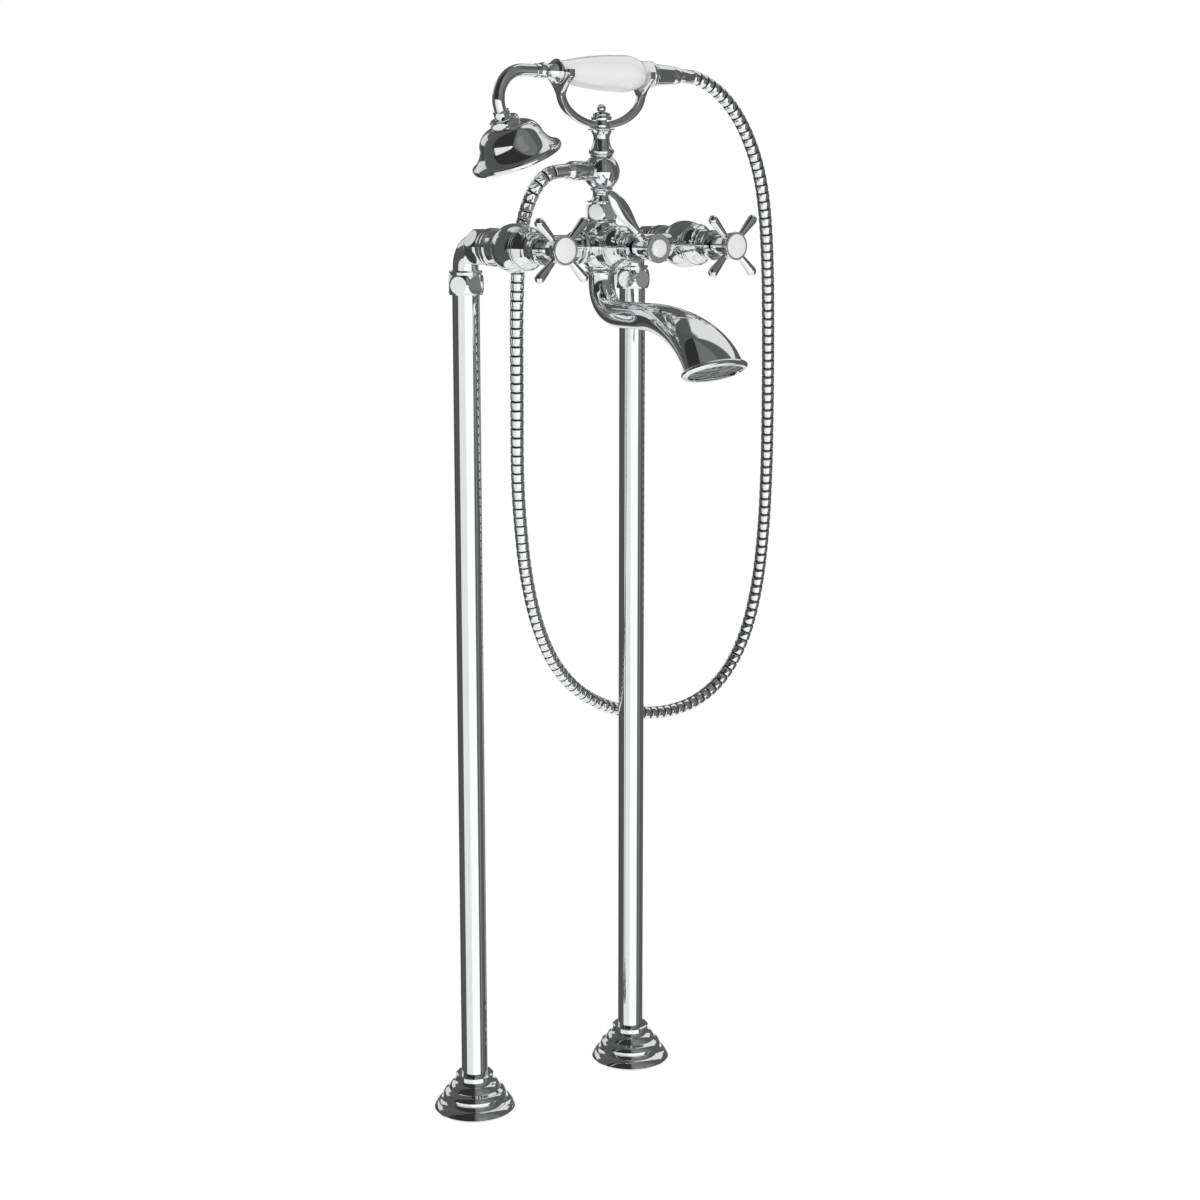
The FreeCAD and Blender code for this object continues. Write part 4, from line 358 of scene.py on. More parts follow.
def pick(piece):
    """Select one piece alone and make it active."""
    deselect_all()
    piece.select_set(True)
    bpy.context.view_layer.objects.active = piece


def settle(piece):
    """Put the piece's place and turn into its mesh."""
    pick(piece)
    bpy.ops.object.transform_apply(location=True, rotation=True, scale=True)


def copy_of_node(node, name):
    """A copy of a node's mesh with its loose triangles merged, as a piece that stands for it."""
    piece = bpy.data.objects.new(name, frame["nodes"][node].data.copy())
    piece.data.name = name
    piece.data.materials.clear()
    bpy.context.scene.collection.objects.link(piece)
    pick(piece)
    if piece.data.has_custom_normals:
        bpy.ops.mesh.customdata_custom_splitnormals_clear()
    bpy.ops.object.mode_set(mode="EDIT")
    bpy.ops.mesh.select_all(action="SELECT")
    bpy.ops.mesh.remove_doubles(threshold=MERGE_DISTANCE)
    bpy.ops.object.mode_set(mode="OBJECT")
    return piece


def apply_modifier(piece, kind, name, **values):
    """Add a modifier, set it and apply it."""
    modifier = piece.modifiers.new(name, kind)
    for key, value in values.items():
        setattr(modifier, key, value)
    pick(piece)
    bpy.ops.object.modifier_apply(modifier=name)


def smooth(piece, degrees):
    """Shade a piece smooth apart from edges sharper than an angle."""
    pick(piece)
    bpy.ops.object.shade_smooth_by_angle(angle=math.radians(degrees))


def soften_edges(piece, width, segments=2, degrees=SOFT_ANGLE):
    """Round a piece's sharp edges a little and shade it smooth."""
    apply_modifier(piece, "BEVEL", "softened edges", width=width, segments=segments,
                   limit_method="ANGLE", angle_limit=math.radians(degrees),
                   use_clamp_overlap=True, harden_normals=False)
    smooth(piece, degrees)


# ---------------------------------------------------------------- finishes


def new_finish(name):
    """An empty node material with its shader and output."""
    material = bpy.data.materials.new(name)
    material.use_nodes = True
    nodes = material.node_tree.nodes
    shader = next(node for node in nodes if node.type == "BSDF_PRINCIPLED")
    return material, nodes, material.node_tree.links, shader


def add_node(nodes, kind, **values):
    """Add a node and set its inputs and properties by name."""
    node = nodes.new(kind)
    for key, value in values.items():
        if key in node.inputs:
            node.inputs[key].default_value = value
        else:
            setattr(node, key, value)
    return node


def object_noise(nodes, links, scale, detail=3.0, stretch=(1.0, 1.0, 1.0)):
    """Noise on the object's own coordinates, stretched along its axes."""
    place = nodes.new("ShaderNodeTexCoord")
    mapping = nodes.new("ShaderNodeMapping")
    mapping.inputs["Scale"].default_value = stretch
    noise = add_node(nodes, "ShaderNodeTexNoise", Scale=scale, Detail=detail)
    links.new(place.outputs["Object"], mapping.inputs["Vector"])
    links.new(mapping.outputs["Vector"], noise.inputs["Vector"])
    return noise


def spread(nodes, links, source, low, high, low_in=0.3, high_in=0.7):
    """Spread a factor over a range of values."""
    ranged = nodes.new("ShaderNodeMapRange")
    ranged.inputs["From Min"].default_value = low_in
    ranged.inputs["From Max"].default_value = high_in
    ranged.inputs["To Min"].default_value = low
    ranged.inputs["To Max"].default_value = high
    links.new(source, ranged.inputs["Value"])
    return ranged.outputs["Result"]


def blend_colours(nodes, links, factor, first, second):
    """Mix two colours by a factor."""
    mix = nodes.new("ShaderNodeMix")
    mix.data_type = "RGBA"
    mix.inputs[6].default_value = first
    mix.inputs[7].default_value = second
    links.new(factor, mix.inputs[0])
    return mix.outputs[2]


def bump(nodes, links, shader, height, strength, distance):
    """Feed a height into the shader's normal."""
    node = nodes.new("ShaderNodeBump")
    node.inputs["Strength"].default_value = strength
    node.inputs["Distance"].default_value = distance
    links.new(height, node.inputs["Height"])
    links.new(node.outputs["Normal"], shader.inputs["Normal"])


def tinted(colour, share):
    """A colour brought down to a share of itself."""
    return (colour[0] * share, colour[1] * share, colour[2] * share, 1.0)


def chrome_finish():
    """Polished chrome over brass: faint waviness, fine wipe marks and a slightly uneven gloss."""
    finish = bpy.context.scene.bath_finish
    material, nodes, links, shader = new_finish("polished_chrome")
    shader.inputs["Metallic"].default_value = 1.0
    film = object_noise(nodes, links, 26.0, detail=4.0)
    wipes = object_noise(nodes, links, 900.0, detail=2.0, stretch=(1.0, 1.0, 0.08))
    colour = blend_colours(nodes, links, spread(nodes, links, film.outputs["Fac"], 0.0, 1.0),
                           tinted(finish.chrome_colour, 0.95), tuple(finish.chrome_colour))
    links.new(colour, shader.inputs["Base Color"])
    mean = finish.chrome_roughness
    smudge = spread(nodes, links, film.outputs["Fac"], mean * 0.6, mean * 1.5)
    links.new(smudge, shader.inputs["Roughness"])
    bump(nodes, links, shader, wipes.outputs["Fac"], 0.02, 0.00002)
    return material


def hose_finish():
    """Chromed steel of the hose, its base colour darkened in the grooves as painted shade."""
    finish = bpy.context.scene.bath_finish
    material, nodes, links, shader = new_finish("hose_steel_ribs")
    shader.inputs["Metallic"].default_value = 1.0
    groove = nodes.new("ShaderNodeAttribute")
    groove.attribute_name = "groove"
    # Painted shade: a near-black base colour where the groove layer is high, standing in for the
    # shade between the ribs.
    colour = blend_colours(nodes, links, groove.outputs["Fac"],
                           tuple(finish.chrome_colour), (0.07, 0.072, 0.075, 1.0))
    links.new(colour, shader.inputs["Base Color"])
    rub = object_noise(nodes, links, 420.0, detail=3.0)
    links.new(spread(nodes, links, rub.outputs["Fac"], 0.05, 0.13), shader.inputs["Roughness"])
    bump(nodes, links, shader, rub.outputs["Fac"], 0.08, 0.00005)
    return material


def porcelain_finish():
    """White glazed porcelain: a clear coat with faint ripples and a trace of warmth."""
    finish = bpy.context.scene.bath_finish
    material, nodes, links, shader = new_finish("white_porcelain")
    clay = object_noise(nodes, links, 60.0, detail=3.0)
    colour = blend_colours(nodes, links, spread(nodes, links, clay.outputs["Fac"], 0.0, 1.0),
                           tinted(finish.porcelain_colour, 0.975), tuple(finish.porcelain_colour))
    links.new(colour, shader.inputs["Base Color"])
    links.new(spread(nodes, links, clay.outputs["Fac"], 0.14, 0.22), shader.inputs["Roughness"])
    shader.inputs["Coat Weight"].default_value = 0.6
    shader.inputs["Coat Roughness"].default_value = 0.04
    shader.inputs["IOR"].default_value = 1.52
    ripple = object_noise(nodes, links, 90.0, detail=1.0)
    bump(nodes, links, shader, ripple.outputs["Fac"], 0.08, 0.0002)
    return material


def brass_finish():
    """Bare brass with turning marks, dulled in patches."""
    finish = bpy.context.scene.bath_finish
    material, nodes, links, shader = new_finish("bare_brass")
    shader.inputs["Metallic"].default_value = 1.0
    patches = object_noise(nodes, links, 70.0, detail=5.0)
    colour = blend_colours(nodes, links, spread(nodes, links, patches.outputs["Fac"], 0.0, 1.0),
                           tinted(finish.brass_colour, 0.72), tuple(finish.brass_colour))
    links.new(colour, shader.inputs["Base Color"])
    links.new(spread(nodes, links, patches.outputs["Fac"], 0.22, 0.42), shader.inputs["Roughness"])
    turning = object_noise(nodes, links, 1400.0, detail=2.0, stretch=(0.15, 1.0, 1.0))
    bump(nodes, links, shader, turning.outputs["Fac"], 0.15, 0.00005)
    return material


def screw_finish():
    """Stainless screws with a fine satin grain."""
    material, nodes, links, shader = new_finish("satin_screw_steel")
    shader.inputs["Metallic"].default_value = 1.0
    grain = object_noise(nodes, links, 1800.0, detail=3.0)
    colour = blend_colours(nodes, links, spread(nodes, links, grain.outputs["Fac"], 0.0, 1.0),
                           (0.46, 0.46, 0.47, 1.0), (0.6, 0.6, 0.61, 1.0))
    links.new(colour, shader.inputs["Base Color"])
    links.new(spread(nodes, links, grain.outputs["Fac"], 0.2, 0.34), shader.inputs["Roughness"])
    bump(nodes, links, shader, grain.outputs["Fac"], 0.1, 0.00003)
    return material


def plastic_finish():
    """Grey moulded plastic with a fine pitted skin."""
    finish = bpy.context.scene.bath_finish
    material, nodes, links, shader = new_finish("grey_moulding")
    skin = object_noise(nodes, links, 700.0, detail=4.0)
    colour = blend_colours(nodes, links, spread(nodes, links, skin.outputs["Fac"], 0.0, 1.0),
                           tinted(finish.plastic_colour, 0.85), tuple(finish.plastic_colour))
    links.new(colour, shader.inputs["Base Color"])
    links.new(spread(nodes, links, skin.outputs["Fac"], 0.38, 0.52), shader.inputs["Roughness"])
    bump(nodes, links, shader, skin.outputs["Fac"], 0.12, 0.0001)
    return material


def rubber_finish():
    """Black seal rubber with a dusty bloom."""
    finish = bpy.context.scene.bath_finish
    material, nodes, links, shader = new_finish("black_rubber")
    bloom = object_noise(nodes, links, 300.0, detail=4.0)
    colour = blend_colours(nodes, links, spread(nodes, links, bloom.outputs["Fac"], 0.0, 1.0),
                           tuple(finish.rubber_colour), (0.05, 0.05, 0.052, 1.0))
    links.new(colour, shader.inputs["Base Color"])
    links.new(spread(nodes, links, bloom.outputs["Fac"], 0.6, 0.8), shader.inputs["Roughness"])
    bump(nodes, links, shader, bloom.outputs["Fac"], 0.2, 0.0001)
    return material


FINISH_MAKERS = {
    "chrome": chrome_finish,
    "hose_steel": hose_finish,
    "porcelain": porcelain_finish,
    "raw_brass": brass_finish,
    "screw_steel": screw_finish,
    "grey_plastic": plastic_finish,
    "seal_rubber": rubber_finish,
}
finishes = {}


def finish_for(slot):
    """The material of a slot, made the first time that it is asked for."""
    if slot not in finishes:
        finishes[slot] = FINISH_MAKERS[slot]()
    return finishes[slot]


def wear(piece, slot):
    """Give a new piece the finish of a slot."""
    piece.data.materials.clear()
    piece.data.materials.append(finish_for(slot))


def stand_for(node, piece, slot):
    """Let a new piece take a node's place, finish and body."""
    wear(piece, slot)
    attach(piece, frame["nodes"][node]["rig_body"])
    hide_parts(node)


# ---------------------------------------------------------------- pieces


class BATH_OT_node_finishes(bpy.types.Operator):
    """Give every node that keeps its own mesh the finish of its slot"""

    bl_idname = "bath_filler.node_finishes"
    bl_label = "Node finishes"

    def execute(self, context):
        slots = {part["node"]: part["material_slot"] for part in frame["record"]["subparts"]}
        for name, node in frame["nodes"].items():
            node.data.materials.clear()
            node.data.materials.append(finish_for(slots[name]))
        return {"FINISHED"}


class BATH_OT_cradle(bpy.types.Operator):
    """Polish the cradle, so that the edges of its strap and forks catch the light"""

    bl_idname = "bath_filler.cradle"
    bl_label = "Cradle"

    def execute(self, context):
        piece = copy_of_node("cradle", "cradle_polished")
        soften_edges(piece, context.scene.bath_cradle.edge)
        stand_for("cradle", piece, "chrome")
        return {"FINISHED"}


def porcelain_disc(node, dome, settings):
    """A disc with a straight edge and a domed glaze, facing -Y in the place of a node."""
    low, high = (Vector(corner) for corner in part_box(node))
    radius = (high.x - low.x) / 2
    deselect_all()
    bpy.ops.mesh.primitive_circle_add(vertices=settings.sides, radius=radius, fill_type="NGON")
    disc = bpy.context.active_object
    disc.name = node + "_glazed"
    bpy.ops.object.mode_set(mode="EDIT")
    bpy.ops.mesh.select_all(action="SELECT")
    edge = high.y - low.y - dome
    bpy.ops.mesh.extrude_region_move(TRANSFORM_OT_translate={"value": (0.0, 0.0, edge)})
    reached = 0.0
    for ring in range(1, DOME_RINGS + 1):
        inner = 1 - ring / (DOME_RINGS + 1)
        rise = dome * (1 - inner * inner)
        bpy.ops.mesh.inset(thickness=radius / (DOME_RINGS + 1), depth=rise - reached)
        reached = rise
    bpy.ops.mesh.poke()
    bpy.ops.mesh.select_all(action="SELECT")
    bpy.ops.mesh.normals_make_consistent(inside=False)
    bpy.ops.object.mode_set(mode="OBJECT")
    disc.rotation_euler = (math.pi / 2, 0.0, 0.0)
    disc.location = ((low.x + high.x) / 2, high.y, (low.z + high.z) / 2)
    settle(disc)
    soften_edges(disc, settings.rim, segments=4, degrees=SMOOTH_ANGLE)
    stand_for(node, disc, "porcelain")


class BATH_OT_porcelain_discs(bpy.types.Operator):
    """Throw the glazed discs of the two handles and of the lever's hub, and leave them bare"""

    bl_idname = "bath_filler.porcelain_discs"
    bl_label = "Porcelain discs"

    def execute(self, context):
        for node, dome in PORCELAIN_DISCS.items():
            porcelain_disc(node, dome, context.scene.bath_porcelain)
        return {"FINISHED"}


def first_nozzle(settings):
    """One soft nozzle: a short stem whose end is rolled in round a dimple."""
    deselect_all()
    bpy.ops.mesh.primitive_cylinder_add(vertices=settings.sides, radius=settings.radius,
                                        depth=settings.height)
    nozzle = bpy.context.active_object
    nozzle.name = "spray_nozzles"
    bpy.ops.object.mode_set(mode="EDIT")
    bpy.ops.mesh.select_all(action="DESELECT")
    bpy.ops.mesh.select_mode(type="FACE")
    mesh = bmesh.from_edit_mesh(nozzle.data)
    for face in mesh.faces:
        face.select_set(face.normal.z < NOZZLE_END_SLOPE)
    bmesh.update_edit_mesh(nozzle.data)
    bpy.ops.mesh.inset(thickness=settings.radius * NOZZLE_INSET,
                       depth=settings.radius * NOZZLE_ROLL)
    bpy.ops.mesh.inset(thickness=settings.radius * NOZZLE_INSET,
                       depth=-settings.radius * NOZZLE_DIMPLE)
    bpy.ops.object.mode_set(mode="OBJECT")
    return nozzle


class BATH_OT_spray_nozzles(bpy.types.Operator):
    """Set the rubber nozzles in rings in the spray face"""

    bl_idname = "bath_filler.spray_nozzles"
    bl_label = "Spray nozzles"

    def execute(self, context):
        first = first_nozzle(context.scene.bath_nozzle)
        nozzles = []
        for ring in range(1, SPRAY_RINGS + 1):
            holes = FIRST_RING_HOLES * ring
            for hole in range(holes):
                turn = 2 * math.pi * hole / holes
                nozzle = first.copy()
                nozzle.data = first.data.copy()
                nozzle.location = (SPRAY_PITCH * ring * math.cos(turn),
                                   SPRAY_PITCH * ring * math.sin(turn), 0.0)
                context.scene.collection.objects.link(nozzle)
                nozzles.append(nozzle)
        bpy.data.objects.remove(first)
        deselect_all()
        for nozzle in nozzles:
            nozzle.select_set(True)
        joined = nozzles[0]
        context.view_layer.objects.active = joined
        bpy.ops.object.transform_apply(location=True, rotation=False, scale=False)
        bpy.ops.object.join()
        low, high = (Vector(corner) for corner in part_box("rose_face"))
        joined.name = "spray_nozzles"
        joined.rotation_euler = (0.0, ROSE_TILT, 0.0)
        joined.location = (low + high) / 2
        settle(joined)
        smooth(joined, SMOOTH_ANGLE)
        wear(joined, "seal_rubber")
        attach(joined, "handset")
        return {"FINISHED"}


def spout_stations(settings):
    """Places down the spout's run, each with its half width and half depth."""
    level = SPOUT_BEND_TOP - SPOUT_BEND
    bend_y = SPOUT_AXIS_Y - SPOUT_BEND
    tube = settings.tube
    run = []
    for step in range(DROP_STATIONS):
        height = SPOUT_RING_LOW + (SPOUT_BEND_TOP - SPOUT_RING_LOW) * step / DROP_STATIONS
        run.append((SPOUT_AXIS_Y, height, tube, tube))
    for step in range(BEND_STATIONS):
        turn = math.pi / 2 * step / BEND_STATIONS
        run.append((bend_y + SPOUT_BEND * math.cos(turn),
                    SPOUT_BEND_TOP - SPOUT_BEND * math.sin(turn), tube, tube))
    for step in range(LEVEL_STATIONS):
        run.append((bend_y - SPOUT_LEVEL * step / LEVEL_STATIONS, level, tube, tube))
    for step in range(FALL_STATIONS):
        share = step / (FALL_STATIONS - 1)
        turn = SPOUT_FALL_TURN * share
        spread = math.sin(math.pi / 2 * share)
        run.append((bend_y - SPOUT_LEVEL - SPOUT_FALL_REACH * math.sin(turn),
                    level - SPOUT_FALL_DEPTH * (1 - math.cos(turn)),
                    tube + (settings.mouth_width - tube) * spread,
                    tube + (settings.mouth_depth - tube) * spread))
    for _ in range(SPOUT_SMOOTHINGS):
        inner = [tuple((before[k] + 2 * here[k] + after[k]) / 4 for k in range(4))
                 for before, here, after in zip(run, run[1:], run[2:])]
        run = [run[0], *inner, run[-1]]
    return run


def spout_rings(settings):
    """Rings from the spout's top over its lip and back up its waterway."""
    run = spout_stations(settings)
    headings = []
    for place in range(len(run)):
        before = run[max(place - 1, 0)]
        after = run[min(place + 1, len(run) - 1)]
        headings.append(Vector((0.0, after[0] - before[0], after[1] - before[1])).normalized())
    narrow = SPOUT_RING * SPOUT_RING_SHARE
    rings = [(Vector((0.0, SPOUT_AXIS_Y, height)), headings[0], radius, radius)
             for height, radius in ((SPOUT_TOP, narrow), (SPOUT_TOP - SPOUT_RING_EDGE, SPOUT_RING),
                                    (SPOUT_RING_LOW + SPOUT_RING_EDGE, SPOUT_RING),
                                    (SPOUT_RING_LOW, narrow))]
    for (y, z, width, depth), heading in zip(run, headings):
        rings.append((Vector((0.0, y, z)), heading, width, depth))
    y, z, width, depth = run[-1]
    mouth = Vector((0.0, y, z))
    heading = headings[-1]
    half = settings.lip * LIP_HEIGHT
    middle = settings.wall - half
    del rings[-LIP_STATIONS:]
    for step in range(LIP_STEPS + 1):
        turn = math.pi * (step / LIP_STEPS - 0.5)
        grown = settings.lip * math.cos(turn) ** LIP_FULLNESS if 0 < step < LIP_STEPS else 0.0
        rings.append((mouth + heading * (middle + half * math.sin(turn)), heading,
                      width + grown, depth + grown))
    corner = settings.wall * LIP_CORNER
    rings.append((mouth + heading * settings.wall, heading, width - corner, depth - corner))
    back_up = list(zip(run, headings))[::-1][:WATERWAY_STATIONS]
    for (y, z, width, depth), heading in back_up:
        rings.append((Vector((0.0, y, z)), heading, width - settings.wall, depth - settings.wall))
    return rings


def ring_of_vertices(mesh, centre, across, upward, sides):
    """New vertices round a centre, their two half axes given as vectors."""
    ring = []
    for side in range(sides):
        turn = 2 * math.pi * side / sides
        ring.append(mesh.verts.new(centre + across * math.cos(turn) + upward * math.sin(turn)))
    return ring


def skinned(mesh, rings, name):
    """A new piece whose skin joins the rings and closes both ends."""
    sides = len(rings[0])
    for first, second in zip(rings, rings[1:]):
        for side in range(sides):
            after = (side + 1) % sides
            mesh.faces.new((first[side], first[after], second[after], second[side]))
    mesh.faces.new(list(reversed(rings[0])))
    mesh.faces.new(rings[-1])
    bmesh.ops.recalc_face_normals(mesh, faces=mesh.faces)
    data = bpy.data.meshes.new(name)
    mesh.to_mesh(data)
    mesh.free()
    piece = bpy.data.objects.new(name, data)
    bpy.context.scene.collection.objects.link(piece)
    smooth(piece, SMOOTH_ANGLE)
    return piece


class BATH_OT_spout(bpy.types.Operator):
    """Draw the swivel spout as one smooth skin with a rolled lip and an open mouth"""

    bl_idname = "bath_filler.spout"
    bl_label = "Spout"

    def execute(self, context):
        settings = context.scene.bath_spout
        mesh = bmesh.new()
        across = Vector((1.0, 0.0, 0.0))
        rings = []
        for centre, heading, width, depth in spout_rings(settings):
            upward = across.cross(heading)
            rings.append(ring_of_vertices(mesh, centre, across * width, upward * depth,
                                          settings.sides))
        stand_for("spout", skinned(mesh, rings, "smooth_spout"), "chrome")
        return {"FINISHED"}


def hose_line():
    """The hose's own line as a smooth curve, and the points along it."""
    curve = bpy.data.curves.new("hose_line", "CURVE")
    curve.dimensions = "3D"
    curve.resolution_u = HOSE_LINE_STEPS
    spline = curve.splines.new("NURBS")
    spline.points.add(len(HOSE_ROUTE) - 1)
    for point, place in zip(spline.points, HOSE_ROUTE):
        point.co = (*place, 1.0)
    spline.order_u = 3
    spline.use_endpoint_u = True
    line = bpy.data.objects.new("hose_line", curve)
    bpy.context.scene.collection.objects.link(line)
    bpy.context.view_layer.update()
    drawn = bpy.data.meshes.new_from_object(line)
    points = [vertex.co.copy() for vertex in drawn.vertices]
    bpy.data.objects.remove(line)
    bpy.data.curves.remove(curve)
    bpy.data.meshes.remove(drawn)
    return points


def walk(points):
    """Give a function that finds the place and heading at a distance along the points."""
    reach = [0.0]
    for before, after in zip(points, points[1:]):
        reach.append(reach[-1] + (after - before).length)

    def at(distance):
        distance = min(max(distance, 0.0), reach[-1])
        low = 0
        high = len(reach) - 1
        while high - low > 1:
            middle = (low + high) // 2
            if reach[middle] <= distance:
                low = middle
            else:
                high = middle
        span = reach[high] - reach[low]
        share = (distance - reach[low]) / span if span > 0 else 0.0
        before = points[low] - points[max(low - 1, 0)]
        here = points[high] - points[low]
        after = points[min(high + 1, len(points) - 1)] - points[high]
        start = (before.normalized() + here.normalized()).normalized() if before.length else here
        end = (here.normalized() + after.normalized()).normalized() if after.length else here
        heading = start.normalized().lerp(end.normalized(), share).normalized()
        return points[low].lerp(points[high], share), heading

    return reach[-1], at


class BATH_OT_shower_hose(bpy.types.Operator):
    """Wind the ribbed metal hose along its route"""

    bl_idname = "bath_filler.shower_hose"
    bl_label = "Shower hose"

    def execute(self, context):
        settings = context.scene.bath_hose
        points = hose_line()
        length, at = walk(points)
        crest = settings.radius
        groove = crest - settings.groove
        ribs = int((length - crest * HOSE_PLAIN_ENDS) / settings.pitch)
        plain = (length - ribs * settings.pitch) / 2
        stations = [(0.0, crest, 0.0), (plain * HOSE_FIRST_END, crest, 0.0)]
        for count in range(ribs):
            start = plain + count * settings.pitch
            for share, drop, dark in HOSE_RIB:
                radius = groove if drop is None else crest - drop
                stations.append((start + share * settings.pitch, radius, dark))
        stations += [(length - plain * HOSE_LAST_END, crest, 0.0), (length, crest, 0.0)]
        mesh = bmesh.new()
        # Each vertex carries its share of painted shade for the grooves and rib sides in this
        # layer.
        shade = mesh.verts.layers.float.new("groove")
        side = Vector((0.0, 1.0, 0.0))
        rings = []
        for distance, radius, dark in stations:
            centre, heading = at(distance)
            side = (side - heading * side.dot(heading)).normalized()
            across = heading.cross(side)
            ring = ring_of_vertices(mesh, centre, side * radius, across * radius, settings.sides)
            for vertex in ring:
                vertex[shade] = dark
            rings.append(ring)
        hose = skinned(mesh, rings, "ribbed_hose")
        wear(hose, "hose_steel")
        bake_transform(hose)
        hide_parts("shower_hose")
        return {"FINISHED"}


# ---------------------------------------------------------------- studio


def aim_camera(context):
    """Stand the camera where the photograph was taken from."""
    studio = context.scene.bath_studio
    data = bpy.data.cameras.new("camera")
    data.lens = studio.lens
    data.sensor_width = FILM_WIDTH
    data.shift_y = CAMERA_SHIFT
    data.clip_start = CAMERA_NEAR
    data.clip_end = CAMERA_FAR
    camera = bpy.data.objects.new("camera", data)
    context.scene.collection.objects.link(camera)
    camera.location = studio.camera_place
    camera.rotation_euler = (math.pi / 2 - studio.camera_pitch, 0.0, -studio.camera_yaw)
    context.scene.camera = camera


def light_band(nodes, links, value, low, high, soft):
    """One inside a range and zero outside, with soft ends."""
    rise = add_node(nodes, "ShaderNodeMapRange", interpolation_type="SMOOTHSTEP")
    rise.inputs["From Min"].default_value = low - soft
    rise.inputs["From Max"].default_value = low
    links.new(value, rise.inputs["Value"])
    fall = add_node(nodes, "ShaderNodeMapRange", interpolation_type="SMOOTHSTEP")
    fall.inputs["From Min"].default_value = high
    fall.inputs["From Max"].default_value = high + soft
    fall.inputs["To Min"].default_value = 1.0
    fall.inputs["To Max"].default_value = 0.0
    links.new(value, fall.inputs["Value"])
    both = add_node(nodes, "ShaderNodeMath", operation="MULTIPLY")
    links.new(rise.outputs["Result"], both.inputs[0])
    links.new(fall.outputs["Result"], both.inputs[1])
    return both.outputs["Value"]


def studio_direction(nodes, links, turn):
    """Height of a direction and its turn from the side that faces the camera."""
    place = nodes.new("ShaderNodeTexCoord")
    turned = add_node(nodes, "ShaderNodeVectorRotate", rotation_type="Z_AXIS", Angle=turn)
    links.new(place.outputs["Generated"], turned.inputs["Vector"])
    axes = nodes.new("ShaderNodeSeparateXYZ")
    links.new(turned.outputs["Vector"], axes.inputs["Vector"])
    front = add_node(nodes, "ShaderNodeMath", operation="MULTIPLY")
    front.inputs[1].default_value = -1.0
    links.new(axes.outputs["Y"], front.inputs[0])
    around = add_node(nodes, "ShaderNodeMath", operation="ARCTAN2")
    links.new(axes.outputs["X"], around.inputs[0])
    links.new(front.outputs["Value"], around.inputs[1])
    return axes.outputs["Z"], around.outputs["Value"]


def board_mask(nodes, links, height, around, board):
    """One where a direction meets a board and zero elsewhere."""
    middle, half, low, high, softness = board
    away = add_node(nodes, "ShaderNodeMath", operation="SUBTRACT")
    away.inputs[1].default_value = math.radians(middle)
    links.new(around, away.inputs[0])
    wrapped = add_node(nodes, "ShaderNodeMath", operation="WRAP")
    wrapped.inputs[1].default_value = math.pi
    wrapped.inputs[2].default_value = -math.pi
    links.new(away.outputs["Value"], wrapped.inputs[0])
    across = light_band(nodes, links, wrapped.outputs["Value"], -math.radians(half),
                        math.radians(half), math.radians(softness))
    upright = light_band(nodes, links, height, low, high, BOARD_TOP_SOFTNESS)
    both = add_node(nodes, "ShaderNodeMath", operation="MULTIPLY")
    links.new(across, both.inputs[0])
    links.new(upright, both.inputs[1])
    return both.outputs["Value"]


def studio_world(context):
    """White background, even light for dull surfaces and a dark studio with white boards."""
    studio = context.scene.bath_studio
    world = bpy.data.worlds.new("studio")
    world.use_nodes = True
    context.scene.world = world
    nodes = world.node_tree.nodes
    links = world.node_tree.links
    nodes.clear()
    height, around = studio_direction(nodes, links, studio.camera_yaw)
    walls = add_node(nodes, "ShaderNodeValue", name="dark walls")
    walls.outputs["Value"].default_value = studio.dark_wall
    level = walls.outputs["Value"]
    for name, middle, half, low, high, strength, softness in STUDIO_BOARDS:
        mask = board_mask(nodes, links, height, around, (middle, half, low, high, softness))
        laid = add_node(nodes, "ShaderNodeMix", label=name)
        laid.inputs[3].default_value = strength
        links.new(mask, laid.inputs[0])
        links.new(level, laid.inputs[2])
        level = laid.outputs[0]
    boards = add_node(nodes, "ShaderNodeBackground", Color=WHITE)
    links.new(level, boards.inputs["Strength"])
    white = add_node(nodes, "ShaderNodeBackground", Color=WHITE, Strength=1.0)
    even = add_node(nodes, "ShaderNodeBackground", Color=WHITE)
    low_light, high_light = (studio.room_light * share for share in EVEN_SHARES)
    links.new(spread(nodes, links, height, low_light, high_light, *EVEN_HEIGHTS),
              even.inputs["Strength"])
    rays = nodes.new("ShaderNodeLightPath")
    seen = add_node(nodes, "ShaderNodeMath", operation="MAXIMUM")
    links.new(rays.outputs["Is Camera Ray"], seen.inputs[0])
    links.new(rays.outputs["Is Transmission Ray"], seen.inputs[1])
    first = nodes.new("ShaderNodeMixShader")
    links.new(rays.outputs["Is Glossy Ray"], first.inputs["Fac"])
    links.new(even.outputs["Background"], first.inputs[1])
    links.new(boards.outputs["Background"], first.inputs[2])
    second = nodes.new("ShaderNodeMixShader")
    links.new(seen.outputs["Value"], second.inputs["Fac"])
    links.new(first.outputs["Shader"], second.inputs[1])
    links.new(white.outputs["Background"], second.inputs[2])
    output = nodes.new("ShaderNodeOutputWorld")
    links.new(second.outputs["Shader"], output.inputs["Surface"])


def studio_lamps(context):
    """One broad soft lamp over the camera's left shoulder."""
    data = bpy.data.lights.new("key_lamp", "AREA")
    data.shape = "RECTANGLE"
    data.size = LAMP_SIDE
    data.size_y = LAMP_SIDE
    data.energy = LAMP_POWER
    lamp = bpy.data.objects.new("key_lamp", data)
    context.scene.collection.objects.link(lamp)
    lamp.location = LAMP_PLACE
    aim = Vector(LAMP_TARGET) - lamp.location
    lamp.rotation_euler = aim.to_track_quat("-Z", "Y").to_euler()
    lamp.visible_glossy = False


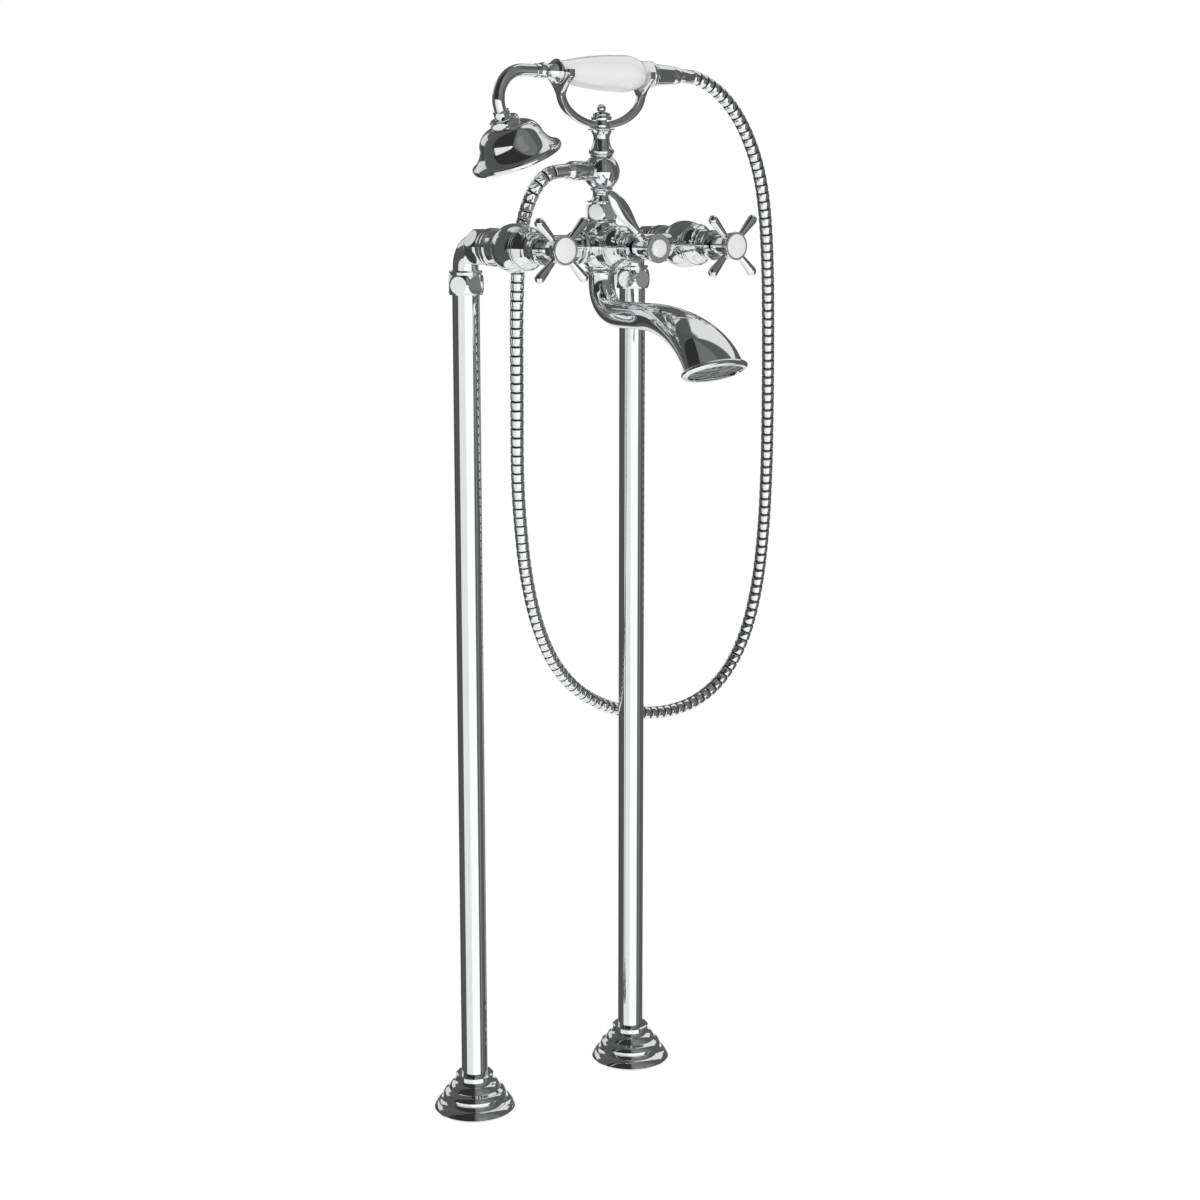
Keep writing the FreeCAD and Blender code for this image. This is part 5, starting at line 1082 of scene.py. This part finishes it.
def white_floor(context):
    """A plain pale floor that keeps a faint shadow under a white background."""
    bpy.ops.mesh.primitive_circle_add(vertices=FLOOR_SIDES, radius=FLOOR_RADIUS,
                                      fill_type="NGON", location=(0.0, 0.0, -FLOOR_DROP))
    floor = context.active_object
    floor.name = "studio_floor"
    settle(floor)
    material = bpy.data.materials.new("pale_floor")
    material.use_nodes = True
    nodes = material.node_tree.nodes
    links = material.node_tree.links
    nodes.clear()
    paint = add_node(nodes, "ShaderNodeBsdfDiffuse", Color=FLOOR_COLOUR)
    glow = add_node(nodes, "ShaderNodeEmission", Color=WHITE, Strength=FLOOR_GLOW)
    rays = nodes.new("ShaderNodeLightPath")
    share = add_node(nodes, "ShaderNodeMath", operation="MULTIPLY")
    share.inputs[1].default_value = FLOOR_GLOW_SHARE
    links.new(rays.outputs["Is Camera Ray"], share.inputs[0])
    mix = nodes.new("ShaderNodeMixShader")
    links.new(share.outputs["Value"], mix.inputs["Fac"])
    links.new(paint.outputs["BSDF"], mix.inputs[1])
    links.new(glow.outputs["Emission"], mix.inputs[2])
    output = nodes.new("ShaderNodeOutputMaterial")
    links.new(mix.outputs["Shader"], output.inputs["Surface"])
    floor.data.materials.append(material)
    floor.visible_glossy = False
    floor.visible_diffuse = False


class BATH_OT_studio(bpy.types.Operator):
    """Set the camera, the lamp, the world and the floor"""

    bl_idname = "bath_filler.studio"
    bl_label = "Studio"

    def execute(self, context):
        context.scene.view_settings.view_transform = "Standard"
        deselect_all()
        aim_camera(context)
        studio_world(context)
        studio_lamps(context)
        white_floor(context)
        return {"FINISHED"}


# ---------------------------------------------------------------- panel and registration


OPERATORS = [
    BATH_OT_studio,
    BATH_OT_node_finishes,
    BATH_OT_cradle,
    BATH_OT_spout,
    BATH_OT_porcelain_discs,
    BATH_OT_spray_nozzles,
    BATH_OT_shower_hose,
]


class BATH_PT_panel(bpy.types.Panel):
    """The bath filler's steps and settings"""

    bl_label = "Bath filler"
    bl_idname = "BATH_PT_panel"
    bl_space_type = "VIEW_3D"
    bl_region_type = "UI"
    bl_category = "Bath filler"

    def draw(self, context):
        for operator in OPERATORS:
            self.layout.operator(operator.bl_idname)
        for name, group in SETTINGS.items():
            box = self.layout.box()
            for setting in group.__annotations__:
                box.prop(getattr(context.scene, name), setting)


def register():
    for group in SETTINGS.values():
        bpy.utils.register_class(group)
    for name, group in SETTINGS.items():
        setattr(bpy.types.Scene, name, bpy.props.PointerProperty(type=group))
    for operator in OPERATORS:
        bpy.utils.register_class(operator)
    bpy.utils.register_class(BATH_PT_panel)


def unregister():
    bpy.utils.unregister_class(BATH_PT_panel)
    for operator in reversed(OPERATORS):
        bpy.utils.unregister_class(operator)
    for name in SETTINGS:
        delattr(bpy.types.Scene, name)
    for group in SETTINGS.values():
        bpy.utils.unregister_class(group)


def main():
    """Build every piece and the studio."""
    register()
    bpy.ops.bath_filler.studio()
    bpy.ops.bath_filler.node_finishes()
    bpy.ops.bath_filler.cradle()
    bpy.ops.bath_filler.spout()
    bpy.ops.bath_filler.porcelain_discs()
    bpy.ops.bath_filler.spray_nozzles()
    bpy.ops.bath_filler.shower_hose()
    deselect_all()


if __name__ == "__main__":
    main()
